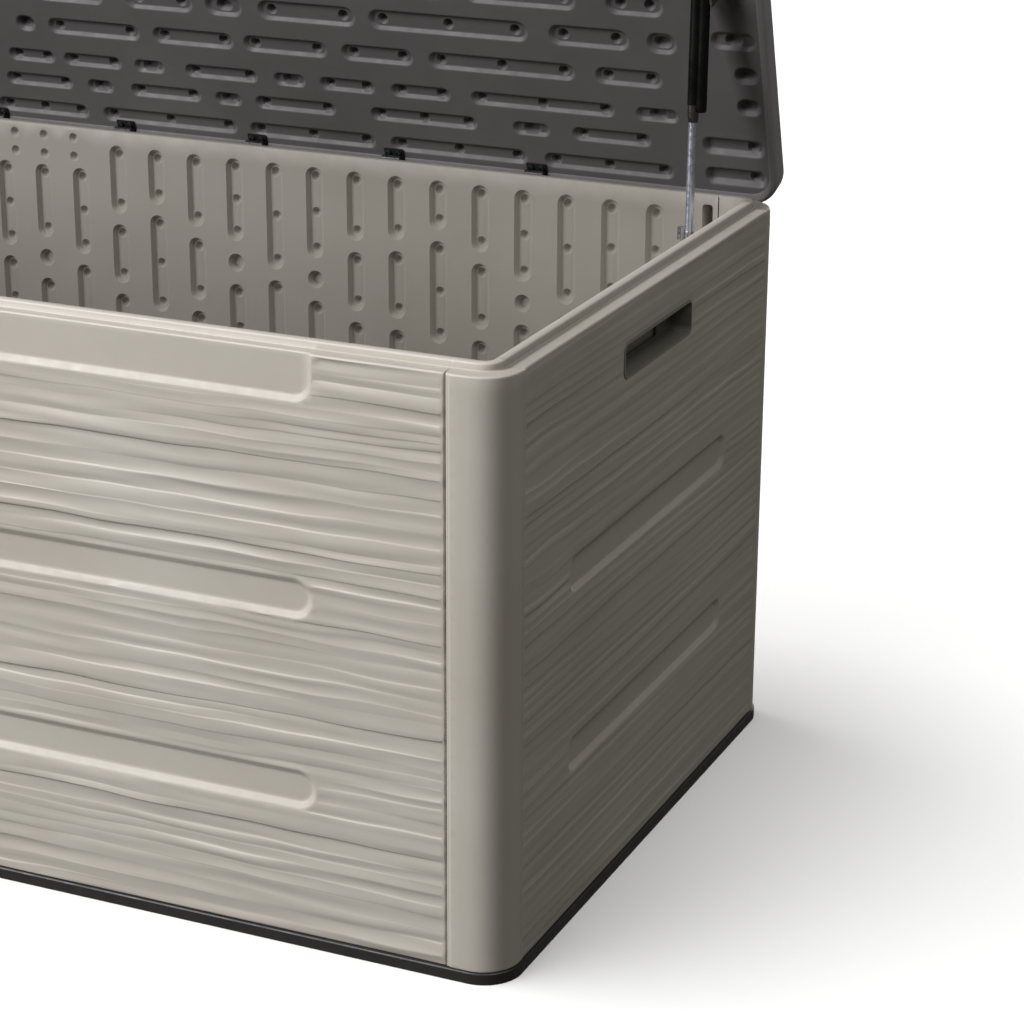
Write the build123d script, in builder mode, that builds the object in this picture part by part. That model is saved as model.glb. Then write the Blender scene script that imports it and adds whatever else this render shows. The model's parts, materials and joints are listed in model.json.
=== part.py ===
from build123d import *
import os
from math import cos, hypot, radians, sin

# Deck storage box with a lid on two gas struts, stored with the lid fully open.
# Millimetres.  Origin at the middle of the underside, +X to the right, +Y to the
# back, +Z up.  Every wall is a double-skinned moulding, open at the bottom, that
# stands on a tongue of the base tray between four separate corner posts.

# ---- driving dimensions --------------------------------------------------------
BOX_LENGTH = 1512.0
BOX_DEPTH = 741.0
BASE_HEIGHT = 12.0
PANEL_HEIGHT = 600.0
LEDGE_WIDTH = 18.0
RIM_WIDTH = 11.0
RIM_HEIGHT = 7.5
SKIN = 3.0
TOP_SKIN = 8.0
POST_FRONT = 61.0
POST_SIDE = 40.0
CORNER_RADIUS = 38.0
LONG_SEAM = 1.5
SHORT_SEAM = 0.6

LONG_SLOT_LENGTH = 1110.0
LONG_SLOTS = ((169.0, 41.0), (368.0, 41.0))
SIDE_SLOT_LENGTH = 428.0
SIDE_SLOTS = ((180.0, 36.0), (371.0, 38.0))
SLOT_DEPTH = 6.0
GRIP_LENGTH = 1117.0
GRIP_BOTTOM = 563.5
GRIP_RADIUS = 14.0

HANDLE_LENGTH = 186.0
HANDLE_HEIGHT = 37.0
HANDLE_RADIUS = 8.0
HANDLE_SHIFT = 7.0
HANDLE_Z = 551.5
CUP_CLEARANCE = 0.3
CUP_WALL = 2.0
CUP_DEPTH = 25.5
CUP_WINDOW_LENGTH = 103.0
CUP_WINDOW_HEIGHT = 26.0

TRAY_PROUD = 2.0
TRAY_FLOOR = 4.0
TONGUE_HEIGHT = 18.0
TONGUE_SIDE_GAP = 0.5
TONGUE_END_GAP = 30.0

LID_OPEN_ANGLE = 72.0
LID_OVERHANG = -1.0
LID_REAR_OVERHANG = 10.0
LID_CORNER_RADIUS = 38.0
LID_TOP = 25.0
LID_SKIRT_WIDTH = 15.5
LID_SKIRT_BOTTOM = -1.5
LID_FIELD = 9.0
LID_EDGE_RADIUS = 6.0
LID_SKIN_SIDE = 4.0
LID_VENT_RADIUS = 2.5
LID_VENT_DEPTH = 6.0
LID_VENT_HEIGHT = 15.5
HINGE_SETBACK = 1.5
HINGE_RISE = 2.0

HINGE_PITCH = 183.0
HINGE_COUNT = 6
HINGE_NOTCH = 26.0
NOTCH_CLEARANCE = 0.5
KNUCKLE_RADIUS = 4.5
PIN_RADIUS = 2.5
PIN_CLEARANCE = 0.05
BOX_KNUCKLE = 10.0
LID_KNUCKLE = 6.0
KNUCKLE_GAP = 0.5
LEAF_THICKNESS = 2.0
BOX_LEAF_HEIGHT = 34.0
BOX_LEAF_DROP = 1.0
BOX_SCREW_DROPS = (10.2, 25.5)
LID_LEAF_LENGTH = 9.5
LID_SCREW_INSET = 4.5
LEAF_SIDE_GAP = 1.0
LEAF_CORNER = 3.0

STRUT_X = 684.0
STRUT_FOOT_Y = 277.0
STRUT_FOOT_Z = 577.0
STRUT_HEAD_ALONG = 258.0
STRUT_HEAD_BELOW = 9.0
ROD_EXPOSED = 136.5
ROD_RADIUS = 4.7
ROD_TIP = 148.5
ROD_CLEARANCE = 0.05
PISTON_RADIUS = 5.0
PISTON_LENGTH = 4.0
GLAND_RADIUS = 6.1
GLAND_TIP_RADIUS = 5.5
GLAND_BORE = 5.3
GLAND_FACE = 5.0
GLAND_TAPER = 6.0
GLAND_LENGTH = 19.0
TUBE_RADIUS = 6.8
TUBE_BORE = 5.6
TUBE_CROWN = 3.5
SLEEVE_RADIUS = 6.2
SLEEVE_OFFSET = 8.8
SLEEVE_NOSE = 8.0
SLEEVE_EDGE_RADIUS = 2.5
EYE_RADIUS = 7.0
EYE_WIDTH = 11.0
NECK_RADIUS = 5.4
NECK_LENGTH = 16.0
ROD_SEAT = 8.0
BARREL_RADIUS = 4.4
BARREL_OFFSET = 9.0
BARREL_START = 6.2
BARREL_LENGTH = 14.0
HEAD_NECK = 10.0
STUD_RADIUS = 3.5
STUD_CLEARANCE = 0.05
STUD_HEAD_RADIUS = 5.2
STUD_HEAD_LENGTH = 2.0
STUD_GAP = 0.5
BRACKET_THICKNESS = 2.5
BRACKET_WIDTH = 30.0
TAB_OFFSET = 17.0
TAB_REACH = 11.0
FOOT_SHELF_DROP = 13.0
FOOT_PLATE_RISE = 24.0
FOOT_SCREW_RISE = 15.0
STRUT_SCREW_SPACING = 18.0

SCREW_RADIUS = 1.8
SCREW_HEAD_RADIUS = 3.4
SCREW_HEAD_HEIGHT = 1.6
SCREW_LENGTH = 8.0
SCREW_HOLE = 2.1
SCREW_SOCKET = 1.3
SCREW_SOCKET_DEPTH = 0.9

# ---- derived dimensions --------------------------------------------------------
WALL = LEDGE_WIDTH + RIM_WIDTH
HALF_LENGTH = BOX_LENGTH / 2
HALF_DEPTH = BOX_DEPTH / 2
LEDGE_Z = BASE_HEIGHT + PANEL_HEIGHT
LONG_PANEL = BOX_LENGTH - 2 * POST_FRONT - 2 * LONG_SEAM
SIDE_PANEL = BOX_DEPTH - 2 * POST_SIDE - 2 * SHORT_SEAM
HINGE_Y = HALF_DEPTH + HINGE_SETBACK
HINGE_Z = LEDGE_Z + HINGE_RISE
BOX_LEAF_TOP = HINGE_Z - KNUCKLE_RADIUS - BOX_LEAF_DROP
LEAF_WIDTH = HINGE_NOTCH - 2 * LEAF_SIDE_GAP
LID_HALF_LENGTH = HALF_LENGTH + LID_OVERHANG
LID_FRONT = HINGE_Y + HALF_DEPTH + LID_OVERHANG
HINGE_STATIONS = [HINGE_PITCH * (i - (HINGE_COUNT - 1) / 2) for i in range(HINGE_COUNT)]

FRONT, RIGHT, BACK, LEFT = (0, -1, 0), (1, 0, 0), (0, 1, 0), (-1, 0, 0)

# The lid is drawn in its own frame: local x runs to the left, local y from the
# hinge axis towards the lid's front edge, local z out of the lid's top.
opening = radians(LID_OPEN_ANGLE)
LID_PLANE = Plane(
    origin=(0, HINGE_Y, HINGE_Z), x_dir=(-1, 0, 0), z_dir=(0, sin(opening), cos(opening))
)


def lid_point(along, height):
    """Y and Z of a point fixed to the open lid."""
    y = HINGE_Y - along * cos(opening) + height * sin(opening)
    z = HINGE_Z + along * sin(opening) + height * cos(opening)
    return y, z


HEAD_Y, HEAD_Z = lid_point(STRUT_HEAD_ALONG, -STRUT_HEAD_BELOW)
STRUT_OPEN = hypot(HEAD_Y - STRUT_FOOT_Y, HEAD_Z - STRUT_FOOT_Z)
STRUT_AXIS = (0, (HEAD_Y - STRUT_FOOT_Y) / STRUT_OPEN, (HEAD_Z - STRUT_FOOT_Z) / STRUT_OPEN)


def write(builder, name):
    """Label a finished piece and write it as its own STEP file."""
    builder.part.label = name
    export_step(builder.part, f"parts/{name}.step")


def wall_frames(outward):
    """Horizontal and vertical drawing planes at the foot of a wall's outer face.

    The horizontal plane has x along the wall and y inwards; the vertical one has
    x along the wall and y upwards.
    """
    origin = (outward[0] * HALF_LENGTH, outward[1] * HALF_DEPTH, BASE_HEIGHT)
    along = (-outward[1], outward[0], 0)
    return Plane(origin, x_dir=along, z_dir=(0, 0, 1)), Plane(origin, x_dir=along, z_dir=outward)


def hollow_wall(length, outward):
    """Add a double-skinned wall, open at the bottom, with its ledge and raised rim."""
    plan, _ = wall_frames(outward)
    with BuildSketch(plan) as block:
        with Locations((0, WALL / 2)):
            Rectangle(length, WALL)
    extrude(block.sketch, amount=PANEL_HEIGHT)
    with BuildSketch(plan) as hollow:
        with Locations((0, WALL / 2)):
            Rectangle(length - 2 * SKIN, WALL - 2 * SKIN)
    extrude(hollow.sketch, amount=PANEL_HEIGHT - TOP_SKIN, mode=Mode.SUBTRACT)
    with BuildSketch(plan.offset(PANEL_HEIGHT)) as rim:
        with Locations((0, LEDGE_WIDTH + RIM_WIDTH / 2)):
            Rectangle(length, RIM_WIDTH)
    extrude(rim.sketch, amount=RIM_HEIGHT)


def long_slots(outward, slots, length):
    """Press round-ended slots into the outer skin and thicken the skin behind them."""
    _, face = wall_frames(outward)
    for z, height in slots:
        with BuildSketch(face.offset(-SKIN)) as backing:
            with Locations((0, z - BASE_HEIGHT)):
                SlotOverall(length + 2 * SKIN, height + 2 * SKIN)
        extrude(backing.sketch, amount=-SLOT_DEPTH)
        with BuildSketch(face) as slot:
            with Locations((0, z - BASE_HEIGHT)):
                SlotOverall(length, height)
        extrude(slot.sketch, amount=-SLOT_DEPTH, mode=Mode.SUBTRACT)


def make_front_panel():
    """Front wall with two long slots and a finger grip along its top edge."""
    _, face = wall_frames(FRONT)
    grip_height = LEDGE_Z - GRIP_BOTTOM
    grip_middle = GRIP_BOTTOM - BASE_HEIGHT + grip_height / 2
    with BuildPart() as front_panel:
        hollow_wall(LONG_PANEL, FRONT)
        long_slots(FRONT, LONG_SLOTS, LONG_SLOT_LENGTH)
        with BuildSketch(face.offset(-SKIN)):
            with Locations((0, grip_middle - SKIN / 2)):
                Rectangle(GRIP_LENGTH + 2 * SKIN, grip_height + SKIN)
        extrude(amount=-SLOT_DEPTH)
        with BuildSketch(face) as grip:
            with Locations((0, grip_middle)):
                Rectangle(GRIP_LENGTH, grip_height)
            fillet(grip.vertices().group_by(Axis.Z)[0], GRIP_RADIUS)
        extrude(amount=-SLOT_DEPTH, mode=Mode.SUBTRACT)
    write(front_panel, "front_panel")


def make_back_panel():
    """Back wall with a notch under each hinge knuckle."""
    notch_depth = KNUCKLE_RADIUS + NOTCH_CLEARANCE
    with BuildPart() as back_panel:
        hollow_wall(LONG_PANEL, BACK)
        with BuildSketch(Plane.XY.offset(LEDGE_Z)):
            with Locations(*[(x, HALF_DEPTH) for x in HINGE_STATIONS]):
                Rectangle(HINGE_NOTCH, 2 * notch_depth)
        extrude(amount=-notch_depth, mode=Mode.SUBTRACT)
    write(back_panel, "back_panel")


def make_side_panel(name, outward):
    """Side wall with two slots and the opening for its handle cup."""
    _, face = wall_frames(outward)
    with BuildPart() as side_panel:
        hollow_wall(SIDE_PANEL, outward)
        long_slots(outward, SIDE_SLOTS, SIDE_SLOT_LENGTH)
        with BuildSketch(face):
            with Locations((outward[0] * HANDLE_SHIFT, HANDLE_Z - BASE_HEIGHT)):
                RectangleRounded(HANDLE_LENGTH, HANDLE_HEIGHT, HANDLE_RADIUS)
        extrude(amount=-SKIN, mode=Mode.SUBTRACT)
    write(side_panel, name)


def make_handle_cup(name, outward):
    """Finger cup let into a side wall, with a window in its back."""
    _, face = wall_frames(outward)
    place = (outward[0] * HANDLE_SHIFT, HANDLE_Z - BASE_HEIGHT)
    length = HANDLE_LENGTH - 2 * CUP_CLEARANCE
    height = HANDLE_HEIGHT - 2 * CUP_CLEARANCE
    with BuildPart() as handle_cup:
        with BuildSketch(face):
            with Locations(place):
                RectangleRounded(length, height, HANDLE_RADIUS - CUP_CLEARANCE)
        extrude(amount=-CUP_DEPTH)
        with BuildSketch(face):
            with Locations(place):
                inner_radius = HANDLE_RADIUS - CUP_CLEARANCE - CUP_WALL
                RectangleRounded(length - 2 * CUP_WALL, height - 2 * CUP_WALL, inner_radius)
        extrude(amount=CUP_WALL - CUP_DEPTH, mode=Mode.SUBTRACT)
        with BuildSketch(face.offset(-CUP_DEPTH)):
            with Locations(place):
                Rectangle(CUP_WINDOW_LENGTH, CUP_WINDOW_HEIGHT)
        extrude(amount=CUP_WALL, mode=Mode.SUBTRACT)
    write(handle_cup, name)


def corner_outline(side, end, start_offset):
    """Points of a post's L section, from its outer corner inset by start_offset."""
    insets = (
        (start_offset, start_offset),
        (POST_FRONT, start_offset),
        (POST_FRONT, WALL),
        (WALL, WALL),
        (WALL, POST_SIDE),
        (start_offset, POST_SIDE),
    )
    return [(side * (HALF_LENGTH - a), end * (HALF_DEPTH - b)) for a, b in insets]


def make_corner_post(name, side, end):
    """Hollow round-nosed post that joins a long wall to a side wall."""
    nose = Vector(side * HALF_LENGTH, end * HALF_DEPTH)
    inside = Vector(side * (HALF_LENGTH - WALL), end * (HALF_DEPTH - WALL))
    inner_radius = CORNER_RADIUS - WALL

    def section(height, inset):
        with BuildSketch(Plane.XY.offset(height)) as outline:
            with BuildLine():
                Polyline(*corner_outline(side, end, inset), close=True)
            make_face()
            fillet(outline.vertices().sort_by_distance(nose)[0], CORNER_RADIUS - inset)
            fillet(outline.vertices().sort_by_distance(inside)[0], inner_radius)
        return outline.sketch

    with BuildPart() as corner_post:
        extrude(section(BASE_HEIGHT, 0), amount=PANEL_HEIGHT)
        with BuildSketch(Plane.XY.offset(BASE_HEIGHT)) as hollow:
            with BuildLine():
                Polyline(*corner_outline(side, end, 0), close=True)
            make_face()
            fillet(hollow.vertices().sort_by_distance(nose)[0], CORNER_RADIUS)
            offset(amount=-SKIN, mode=Mode.REPLACE)
        extrude(amount=PANEL_HEIGHT - TOP_SKIN, mode=Mode.SUBTRACT)
        extrude(section(LEDGE_Z, LEDGE_WIDTH), amount=RIM_HEIGHT)
    write(corner_post, name)


def make_base_tray():
    """Floor with a low kerb under the walls and a tongue inside each wall."""
    length = BOX_LENGTH + 2 * TRAY_PROUD
    depth = BOX_DEPTH + 2 * TRAY_PROUD
    tongue_width = WALL - 2 * SKIN - 2 * TONGUE_SIDE_GAP
    with BuildPart() as base_tray:
        with BuildSketch():
            RectangleRounded(length, depth, CORNER_RADIUS + TRAY_PROUD)
        extrude(amount=BASE_HEIGHT)
        with BuildSketch(Plane.XY.offset(BASE_HEIGHT)):
            RectangleRounded(BOX_LENGTH - 2 * WALL, BOX_DEPTH - 2 * WALL, CORNER_RADIUS - WALL)
        extrude(amount=TRAY_FLOOR - BASE_HEIGHT, mode=Mode.SUBTRACT)
        for outward, wall_length in ((FRONT, LONG_PANEL), (BACK, LONG_PANEL),
                                     (LEFT, SIDE_PANEL), (RIGHT, SIDE_PANEL)):
            plan, _ = wall_frames(outward)
            with BuildSketch(plan):
                with Locations((0, WALL / 2)):
                    Rectangle(wall_length - 2 * TONGUE_END_GAP, tongue_width)
            extrude(amount=TONGUE_HEIGHT)
        kerb_top = base_tray.edges().filter_by_position(Axis.Z, BASE_HEIGHT, BASE_HEIGHT)
        outer = [e for e in kerb_top if abs(e.center().X) > HALF_LENGTH or abs(e.center().Y) > HALF_DEPTH]
        chamfer(outer, TRAY_PROUD / 2)
    write(base_tray, "base_tray")


def lid_outline(inset):
    """Rounded rectangle of the lid, inset all round, in the lid's own frame."""
    length = 2 * (LID_HALF_LENGTH - inset)
    depth = LID_FRONT + LID_REAR_OVERHANG - 2 * inset
    middle = (LID_FRONT - LID_REAR_OVERHANG) / 2
    with Locations((0, middle)):
        RectangleRounded(length, depth, LID_CORNER_RADIUS - inset)


def make_lid():
    """Double-skinned lid with a skirt round its underside, notched for the hinges."""
    with BuildPart() as lid_shell:
        with BuildSketch(LID_PLANE.offset(LID_SKIRT_BOTTOM)):
            lid_outline(0)
        extrude(amount=LID_TOP - LID_SKIRT_BOTTOM)
        top = lid_shell.edges().group_by(lambda e: round(LID_PLANE.to_local_coords(e.center()).Z))[-1]
        fillet(top, LID_EDGE_RADIUS)
        with BuildSketch(LID_PLANE.offset(LID_FIELD)):
            lid_outline(LID_SKIRT_WIDTH)
        extrude(amount=LID_SKIRT_BOTTOM - LID_FIELD, mode=Mode.SUBTRACT)
        with BuildSketch(LID_PLANE.offset(LID_FIELD + SKIN)):
            lid_outline(LID_SKIN_SIDE)
        extrude(amount=LID_TOP - LID_FIELD - 2 * SKIN, mode=Mode.SUBTRACT)
        with BuildSketch(LID_PLANE.offset(LID_FIELD)):
            notch_middle = (LID_SKIRT_WIDTH - 2 * LID_REAR_OVERHANG) / 2
            with Locations(*[(x, notch_middle) for x in HINGE_STATIONS]):
                Rectangle(HINGE_NOTCH, LID_SKIRT_WIDTH)
        extrude(amount=LID_SKIRT_BOTTOM - LID_FIELD, mode=Mode.SUBTRACT)
        rear_edge = Plane(LID_PLANE.from_local_coords(Vector(0, -LID_REAR_OVERHANG, LID_VENT_HEIGHT)),
                          x_dir=(-1, 0, 0), z_dir=LID_PLANE.y_dir)
        with BuildSketch(rear_edge):
            Circle(LID_VENT_RADIUS)
        extrude(amount=LID_VENT_DEPTH, mode=Mode.SUBTRACT)
    write(lid_shell, "lid_shell")


def box_leaf_screws(x):
    """Screw seats on one box leaf, on its outer face."""
    outer = HALF_DEPTH + LEAF_THICKNESS
    return [Plane((x, outer, BOX_LEAF_TOP - drop), x_dir=(-1, 0, 0), z_dir=BACK)
            for drop in BOX_SCREW_DROPS]


def lid_leaf_screws(x):
    """Screw seats on one lid leaf, on its underside."""
    height = LID_FIELD - LEAF_THICKNESS
    origins = [LID_PLANE.from_local_coords(Vector(x + dx, LID_LEAF_LENGTH - LID_SCREW_INSET, height))
               for dx in (-HINGE_NOTCH / 4, HINGE_NOTCH / 4)]
    return [Plane(origin, x_dir=(1, 0, 0), z_dir=-LID_PLANE.z_dir) for origin in origins]


def make_box_leaf(name, x):
    """Hinge leaf on the back wall with one middle knuckle."""
    neck = HINGE_Z - BOX_LEAF_TOP + LEAF_CORNER
    with BuildPart() as box_leaf:
        with BuildSketch(Plane.YZ.offset(x - BOX_KNUCKLE / 2)):
            with Locations((HINGE_Y, HINGE_Z)):
                Circle(KNUCKLE_RADIUS)
            with Locations((HALF_DEPTH + LEAF_THICKNESS / 2, HINGE_Z - neck / 2)):
                Rectangle(LEAF_THICKNESS, neck)
            with Locations((HINGE_Y, HINGE_Z)):
                Circle(PIN_RADIUS, mode=Mode.SUBTRACT)
        extrude(amount=BOX_KNUCKLE)
        middle = (x, HALF_DEPTH, BOX_LEAF_TOP - BOX_LEAF_HEIGHT / 2)
        with BuildSketch(Plane(middle, x_dir=(-1, 0, 0), z_dir=BACK)):
            RectangleRounded(LEAF_WIDTH, BOX_LEAF_HEIGHT, LEAF_CORNER)
        extrude(amount=LEAF_THICKNESS)
        with Locations(*box_leaf_screws(x)):
            Hole(SCREW_HOLE, depth=LEAF_THICKNESS)
    write(box_leaf, name)


def make_lid_leaf(name, x):
    """Hinge leaf under the lid with two outer knuckles."""
    middle = BOX_KNUCKLE / 2 + KNUCKLE_GAP + LID_KNUCKLE / 2
    height = LID_FIELD - LEAF_THICKNESS
    rear = -KNUCKLE_RADIUS
    with BuildPart() as lid_leaf:
        with BuildSketch(LID_PLANE.offset(height)):
            with Locations((x, (LID_LEAF_LENGTH + rear) / 2)):
                Rectangle(LEAF_WIDTH, LID_LEAF_LENGTH - rear)
        extrude(amount=LEAF_THICKNESS)
        for side in (-1, 1):
            with BuildSketch(LID_PLANE):
                with Locations((x + side * middle, rear + LEAF_THICKNESS / 2)):
                    Rectangle(LID_KNUCKLE, LEAF_THICKNESS)
            extrude(amount=height)
            start = LID_PLANE.from_local_coords(Vector(x + side * middle - LID_KNUCKLE / 2, 0, 0))
            with BuildSketch(Plane(start, x_dir=LID_PLANE.y_dir, z_dir=LID_PLANE.x_dir)):
                Circle(KNUCKLE_RADIUS)
            extrude(amount=LID_KNUCKLE)
            with BuildSketch(Plane(start, x_dir=LID_PLANE.y_dir, z_dir=LID_PLANE.x_dir)):
                Circle(PIN_RADIUS + PIN_CLEARANCE)
            extrude(amount=LID_KNUCKLE, mode=Mode.SUBTRACT)
        with Locations(*lid_leaf_screws(x)):
            Hole(SCREW_HOLE, depth=LEAF_THICKNESS)
    write(lid_leaf, name)


def make_hinge_pin(name, x):
    """Round pin through the three knuckles of one hinge."""
    length = BOX_KNUCKLE + 2 * (KNUCKLE_GAP + LID_KNUCKLE)
    with BuildPart() as hinge_pin:
        with BuildSketch(Plane.YZ.offset(x - length / 2)):
            with Locations((HINGE_Y, HINGE_Z)):
                Circle(PIN_RADIUS)
        extrude(amount=length)
    write(hinge_pin, name)


def make_screws(name, seats):
    """Pan-head screws, one on each seat plane, heads along the planes' normals."""
    with BuildPart() as screws:
        for seat in seats:
            with BuildSketch(seat):
                Circle(SCREW_HEAD_RADIUS)
            extrude(amount=SCREW_HEAD_HEIGHT)
            with BuildSketch(seat):
                Circle(SCREW_RADIUS)
            extrude(amount=-SCREW_LENGTH)
            with BuildSketch(seat.offset(SCREW_HEAD_HEIGHT)):
                RegularPolygon(SCREW_SOCKET, 6)
            extrude(amount=-SCREW_SOCKET_DEPTH, mode=Mode.SUBTRACT)
    write(screws, name)


def strut_plane(side, along):
    """Plane across a strut at a distance from its lower pivot."""
    y = STRUT_FOOT_Y + along * STRUT_AXIS[1]
    z = STRUT_FOOT_Z + along * STRUT_AXIS[2]
    return Plane((side * STRUT_X, y, z), x_dir=(1, 0, 0), z_dir=STRUT_AXIS)


def make_strut_rod(name, side):
    """Polished rod with its piston."""
    with BuildPart() as strut_rod:
        with BuildSketch(strut_plane(side, ROD_SEAT)):
            Circle(ROD_RADIUS)
        extrude(amount=ROD_TIP - ROD_SEAT)
        with BuildSketch(strut_plane(side, ROD_TIP)):
            Circle(PISTON_RADIUS)
        extrude(amount=-PISTON_LENGTH)
    write(strut_rod, name)


def make_strut_gland(name, side):
    """Bright nose of the tube that guides the rod."""
    with BuildPart() as strut_gland:
        with BuildSketch(strut_plane(side, ROD_EXPOSED + GLAND_TAPER)):
            Circle(GLAND_RADIUS)
        extrude(amount=GLAND_LENGTH - GLAND_TAPER)
        with BuildSketch(strut_plane(side, ROD_EXPOSED + GLAND_TAPER)):
            Circle(GLAND_RADIUS)
        with BuildSketch(strut_plane(side, ROD_EXPOSED)):
            Circle(GLAND_TIP_RADIUS)
        loft()
        with BuildSketch(strut_plane(side, ROD_EXPOSED)):
            Circle(ROD_RADIUS + ROD_CLEARANCE)
        extrude(amount=GLAND_LENGTH, mode=Mode.SUBTRACT)
        with BuildSketch(strut_plane(side, ROD_EXPOSED + GLAND_FACE)):
            Circle(GLAND_BORE)
        extrude(amount=GLAND_LENGTH - GLAND_FACE, mode=Mode.SUBTRACT)
    write(strut_gland, name)


def make_strut_tube(name, side):
    """Black pressure tube, closed at its upper end, with a stop rib along its outer side."""
    start = ROD_EXPOSED + GLAND_LENGTH
    end = STRUT_OPEN - HEAD_NECK
    with BuildPart() as strut_tube:
        with BuildSketch(strut_plane(side, start - SLEEVE_NOSE)):
            with Locations((side * SLEEVE_OFFSET, 0)):
                Circle(SLEEVE_RADIUS)
        extrude(amount=end - start + SLEEVE_NOSE)
        fillet(strut_tube.edges().sort_by(Axis.Z)[0], SLEEVE_EDGE_RADIUS)
        with BuildSketch(strut_plane(side, start)):
            Circle(TUBE_RADIUS)
        extrude(amount=end - start)
        with BuildSketch(strut_plane(side, start - SLEEVE_NOSE)):
            Circle(TUBE_RADIUS)
        extrude(amount=SLEEVE_NOSE, mode=Mode.SUBTRACT)
        with BuildSketch(strut_plane(side, start)):
            Circle(TUBE_BORE)
        extrude(amount=end - start - TUBE_CROWN, mode=Mode.SUBTRACT)
    write(strut_tube, name)


def make_strut_eye(name, side, along, direction, neck, seat):
    """Eye round a stud; the one that holds the rod has a spring barrel beside its neck."""
    centre = strut_plane(side, along)
    across = Plane(centre.origin - Vector(EYE_WIDTH / 2, 0, 0), x_dir=(0, 1, 0), z_dir=(1, 0, 0))
    bore = STUD_RADIUS + (STUD_CLEARANCE if seat else 0)
    with BuildPart() as strut_eye:
        with BuildSketch(across):
            Circle(EYE_RADIUS)
        extrude(amount=EYE_WIDTH)
        with BuildSketch(centre):
            Circle(NECK_RADIUS)
        extrude(amount=direction * neck)
        with BuildSketch(across):
            Circle(bore)
        extrude(amount=EYE_WIDTH, mode=Mode.SUBTRACT)
        if seat:
            with BuildSketch(strut_plane(side, along + direction * seat)):
                Circle(ROD_RADIUS)
            extrude(amount=direction * (neck - seat), mode=Mode.SUBTRACT)
            with BuildSketch(strut_plane(side, along + direction * BARREL_START)):
                with Locations((-side * BARREL_OFFSET, 0)):
                    Circle(BARREL_RADIUS)
            extrude(amount=direction * BARREL_LENGTH)
    write(strut_eye, name)


def make_stud(name, side, along, gap):
    """Headed stud across a strut, reaching to within gap of its bracket."""
    centre = strut_plane(side, along).origin
    inner = Plane(centre - Vector(side * EYE_WIDTH / 2, 0, 0), x_dir=(0, 1, 0), z_dir=(side, 0, 0))
    with BuildPart() as stud:
        with BuildSketch(inner):
            Circle(STUD_RADIUS)
        extrude(amount=EYE_WIDTH / 2 + TAB_OFFSET - gap)
        with BuildSketch(inner.offset(-STUD_GAP)):
            Circle(STUD_HEAD_RADIUS)
        extrude(amount=-STUD_HEAD_LENGTH)
        with BuildSketch(inner):
            Circle(STUD_RADIUS)
        extrude(amount=-STUD_GAP)
    write(stud, name)


def make_foot_bracket(name, side):
    """Channel-shaped bracket on the side wall that holds a strut's lower stud."""
    inner = STRUT_X + TAB_OFFSET
    wall = HALF_LENGTH - WALL
    bottom = STRUT_FOOT_Z - FOOT_SHELF_DROP
    t = BRACKET_THICKNESS
    rectangles = (
        (inner, inner + t, bottom, STRUT_FOOT_Z + TAB_REACH),
        (inner, wall, bottom, bottom + t),
        (wall - t, wall, bottom, STRUT_FOOT_Z + FOOT_PLATE_RISE),
    )
    front = Plane((0, STRUT_FOOT_Y - BRACKET_WIDTH / 2, 0), x_dir=(1, 0, 0), z_dir=FRONT)
    with BuildPart() as foot_bracket:
        with BuildSketch(front):
            for x0, x1, z0, z1 in rectangles:
                with Locations((side * (x0 + x1) / 2, (z0 + z1) / 2)):
                    Rectangle(x1 - x0, z1 - z0)
        extrude(amount=-BRACKET_WIDTH)
        with Locations(*foot_screws(side)):
            Hole(SCREW_HOLE, depth=t)
    write(foot_bracket, name)


def foot_screws(side):
    """Screw seats on one foot bracket, on its face towards the storage space."""
    x = side * (HALF_LENGTH - WALL - BRACKET_THICKNESS)
    z = STRUT_FOOT_Z + FOOT_SCREW_RISE
    return [Plane((x, STRUT_FOOT_Y + dy, z), x_dir=(0, 1, 0), z_dir=(-side, 0, 0))
            for dy in (-STRUT_SCREW_SPACING / 2, STRUT_SCREW_SPACING / 2)]


def make_head_bracket(name, side):
    """Angle bracket under the lid that reaches down beside a strut's upper stud."""
    inner = STRUT_X + TAB_OFFSET
    outer = HALF_LENGTH - WALL
    t = BRACKET_THICKNESS
    tab = (inner, inner + t, -STRUT_HEAD_BELOW - TAB_REACH, LID_FIELD)
    plate = (inner, outer, LID_FIELD - t, LID_FIELD)
    start = LID_PLANE.from_local_coords(Vector(0, STRUT_HEAD_ALONG - BRACKET_WIDTH / 2, 0))
    with BuildPart() as head_bracket:
        with BuildSketch(Plane(start, x_dir=(1, 0, 0), z_dir=LID_PLANE.y_dir)):
            for x0, x1, h0, h1 in (tab, plate):
                with Locations((side * (x0 + x1) / 2, (h0 + h1) / 2)):
                    Rectangle(x1 - x0, h1 - h0)
        extrude(amount=BRACKET_WIDTH)
        with Locations(*head_screws(side)):
            Hole(SCREW_HOLE, depth=t)
    write(head_bracket, name)


def head_screws(side):
    """Screw seats on one head bracket, on its underside."""
    x = -side * (STRUT_X + TAB_OFFSET + HALF_LENGTH - WALL) / 2
    height = LID_FIELD - BRACKET_THICKNESS
    spots = [STRUT_HEAD_ALONG + dy for dy in (-STRUT_SCREW_SPACING / 2, STRUT_SCREW_SPACING / 2)]
    return [Plane(LID_PLANE.from_local_coords(Vector(x, s, height)), x_dir=(1, 0, 0),
                  z_dir=-LID_PLANE.z_dir) for s in spots]


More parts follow.
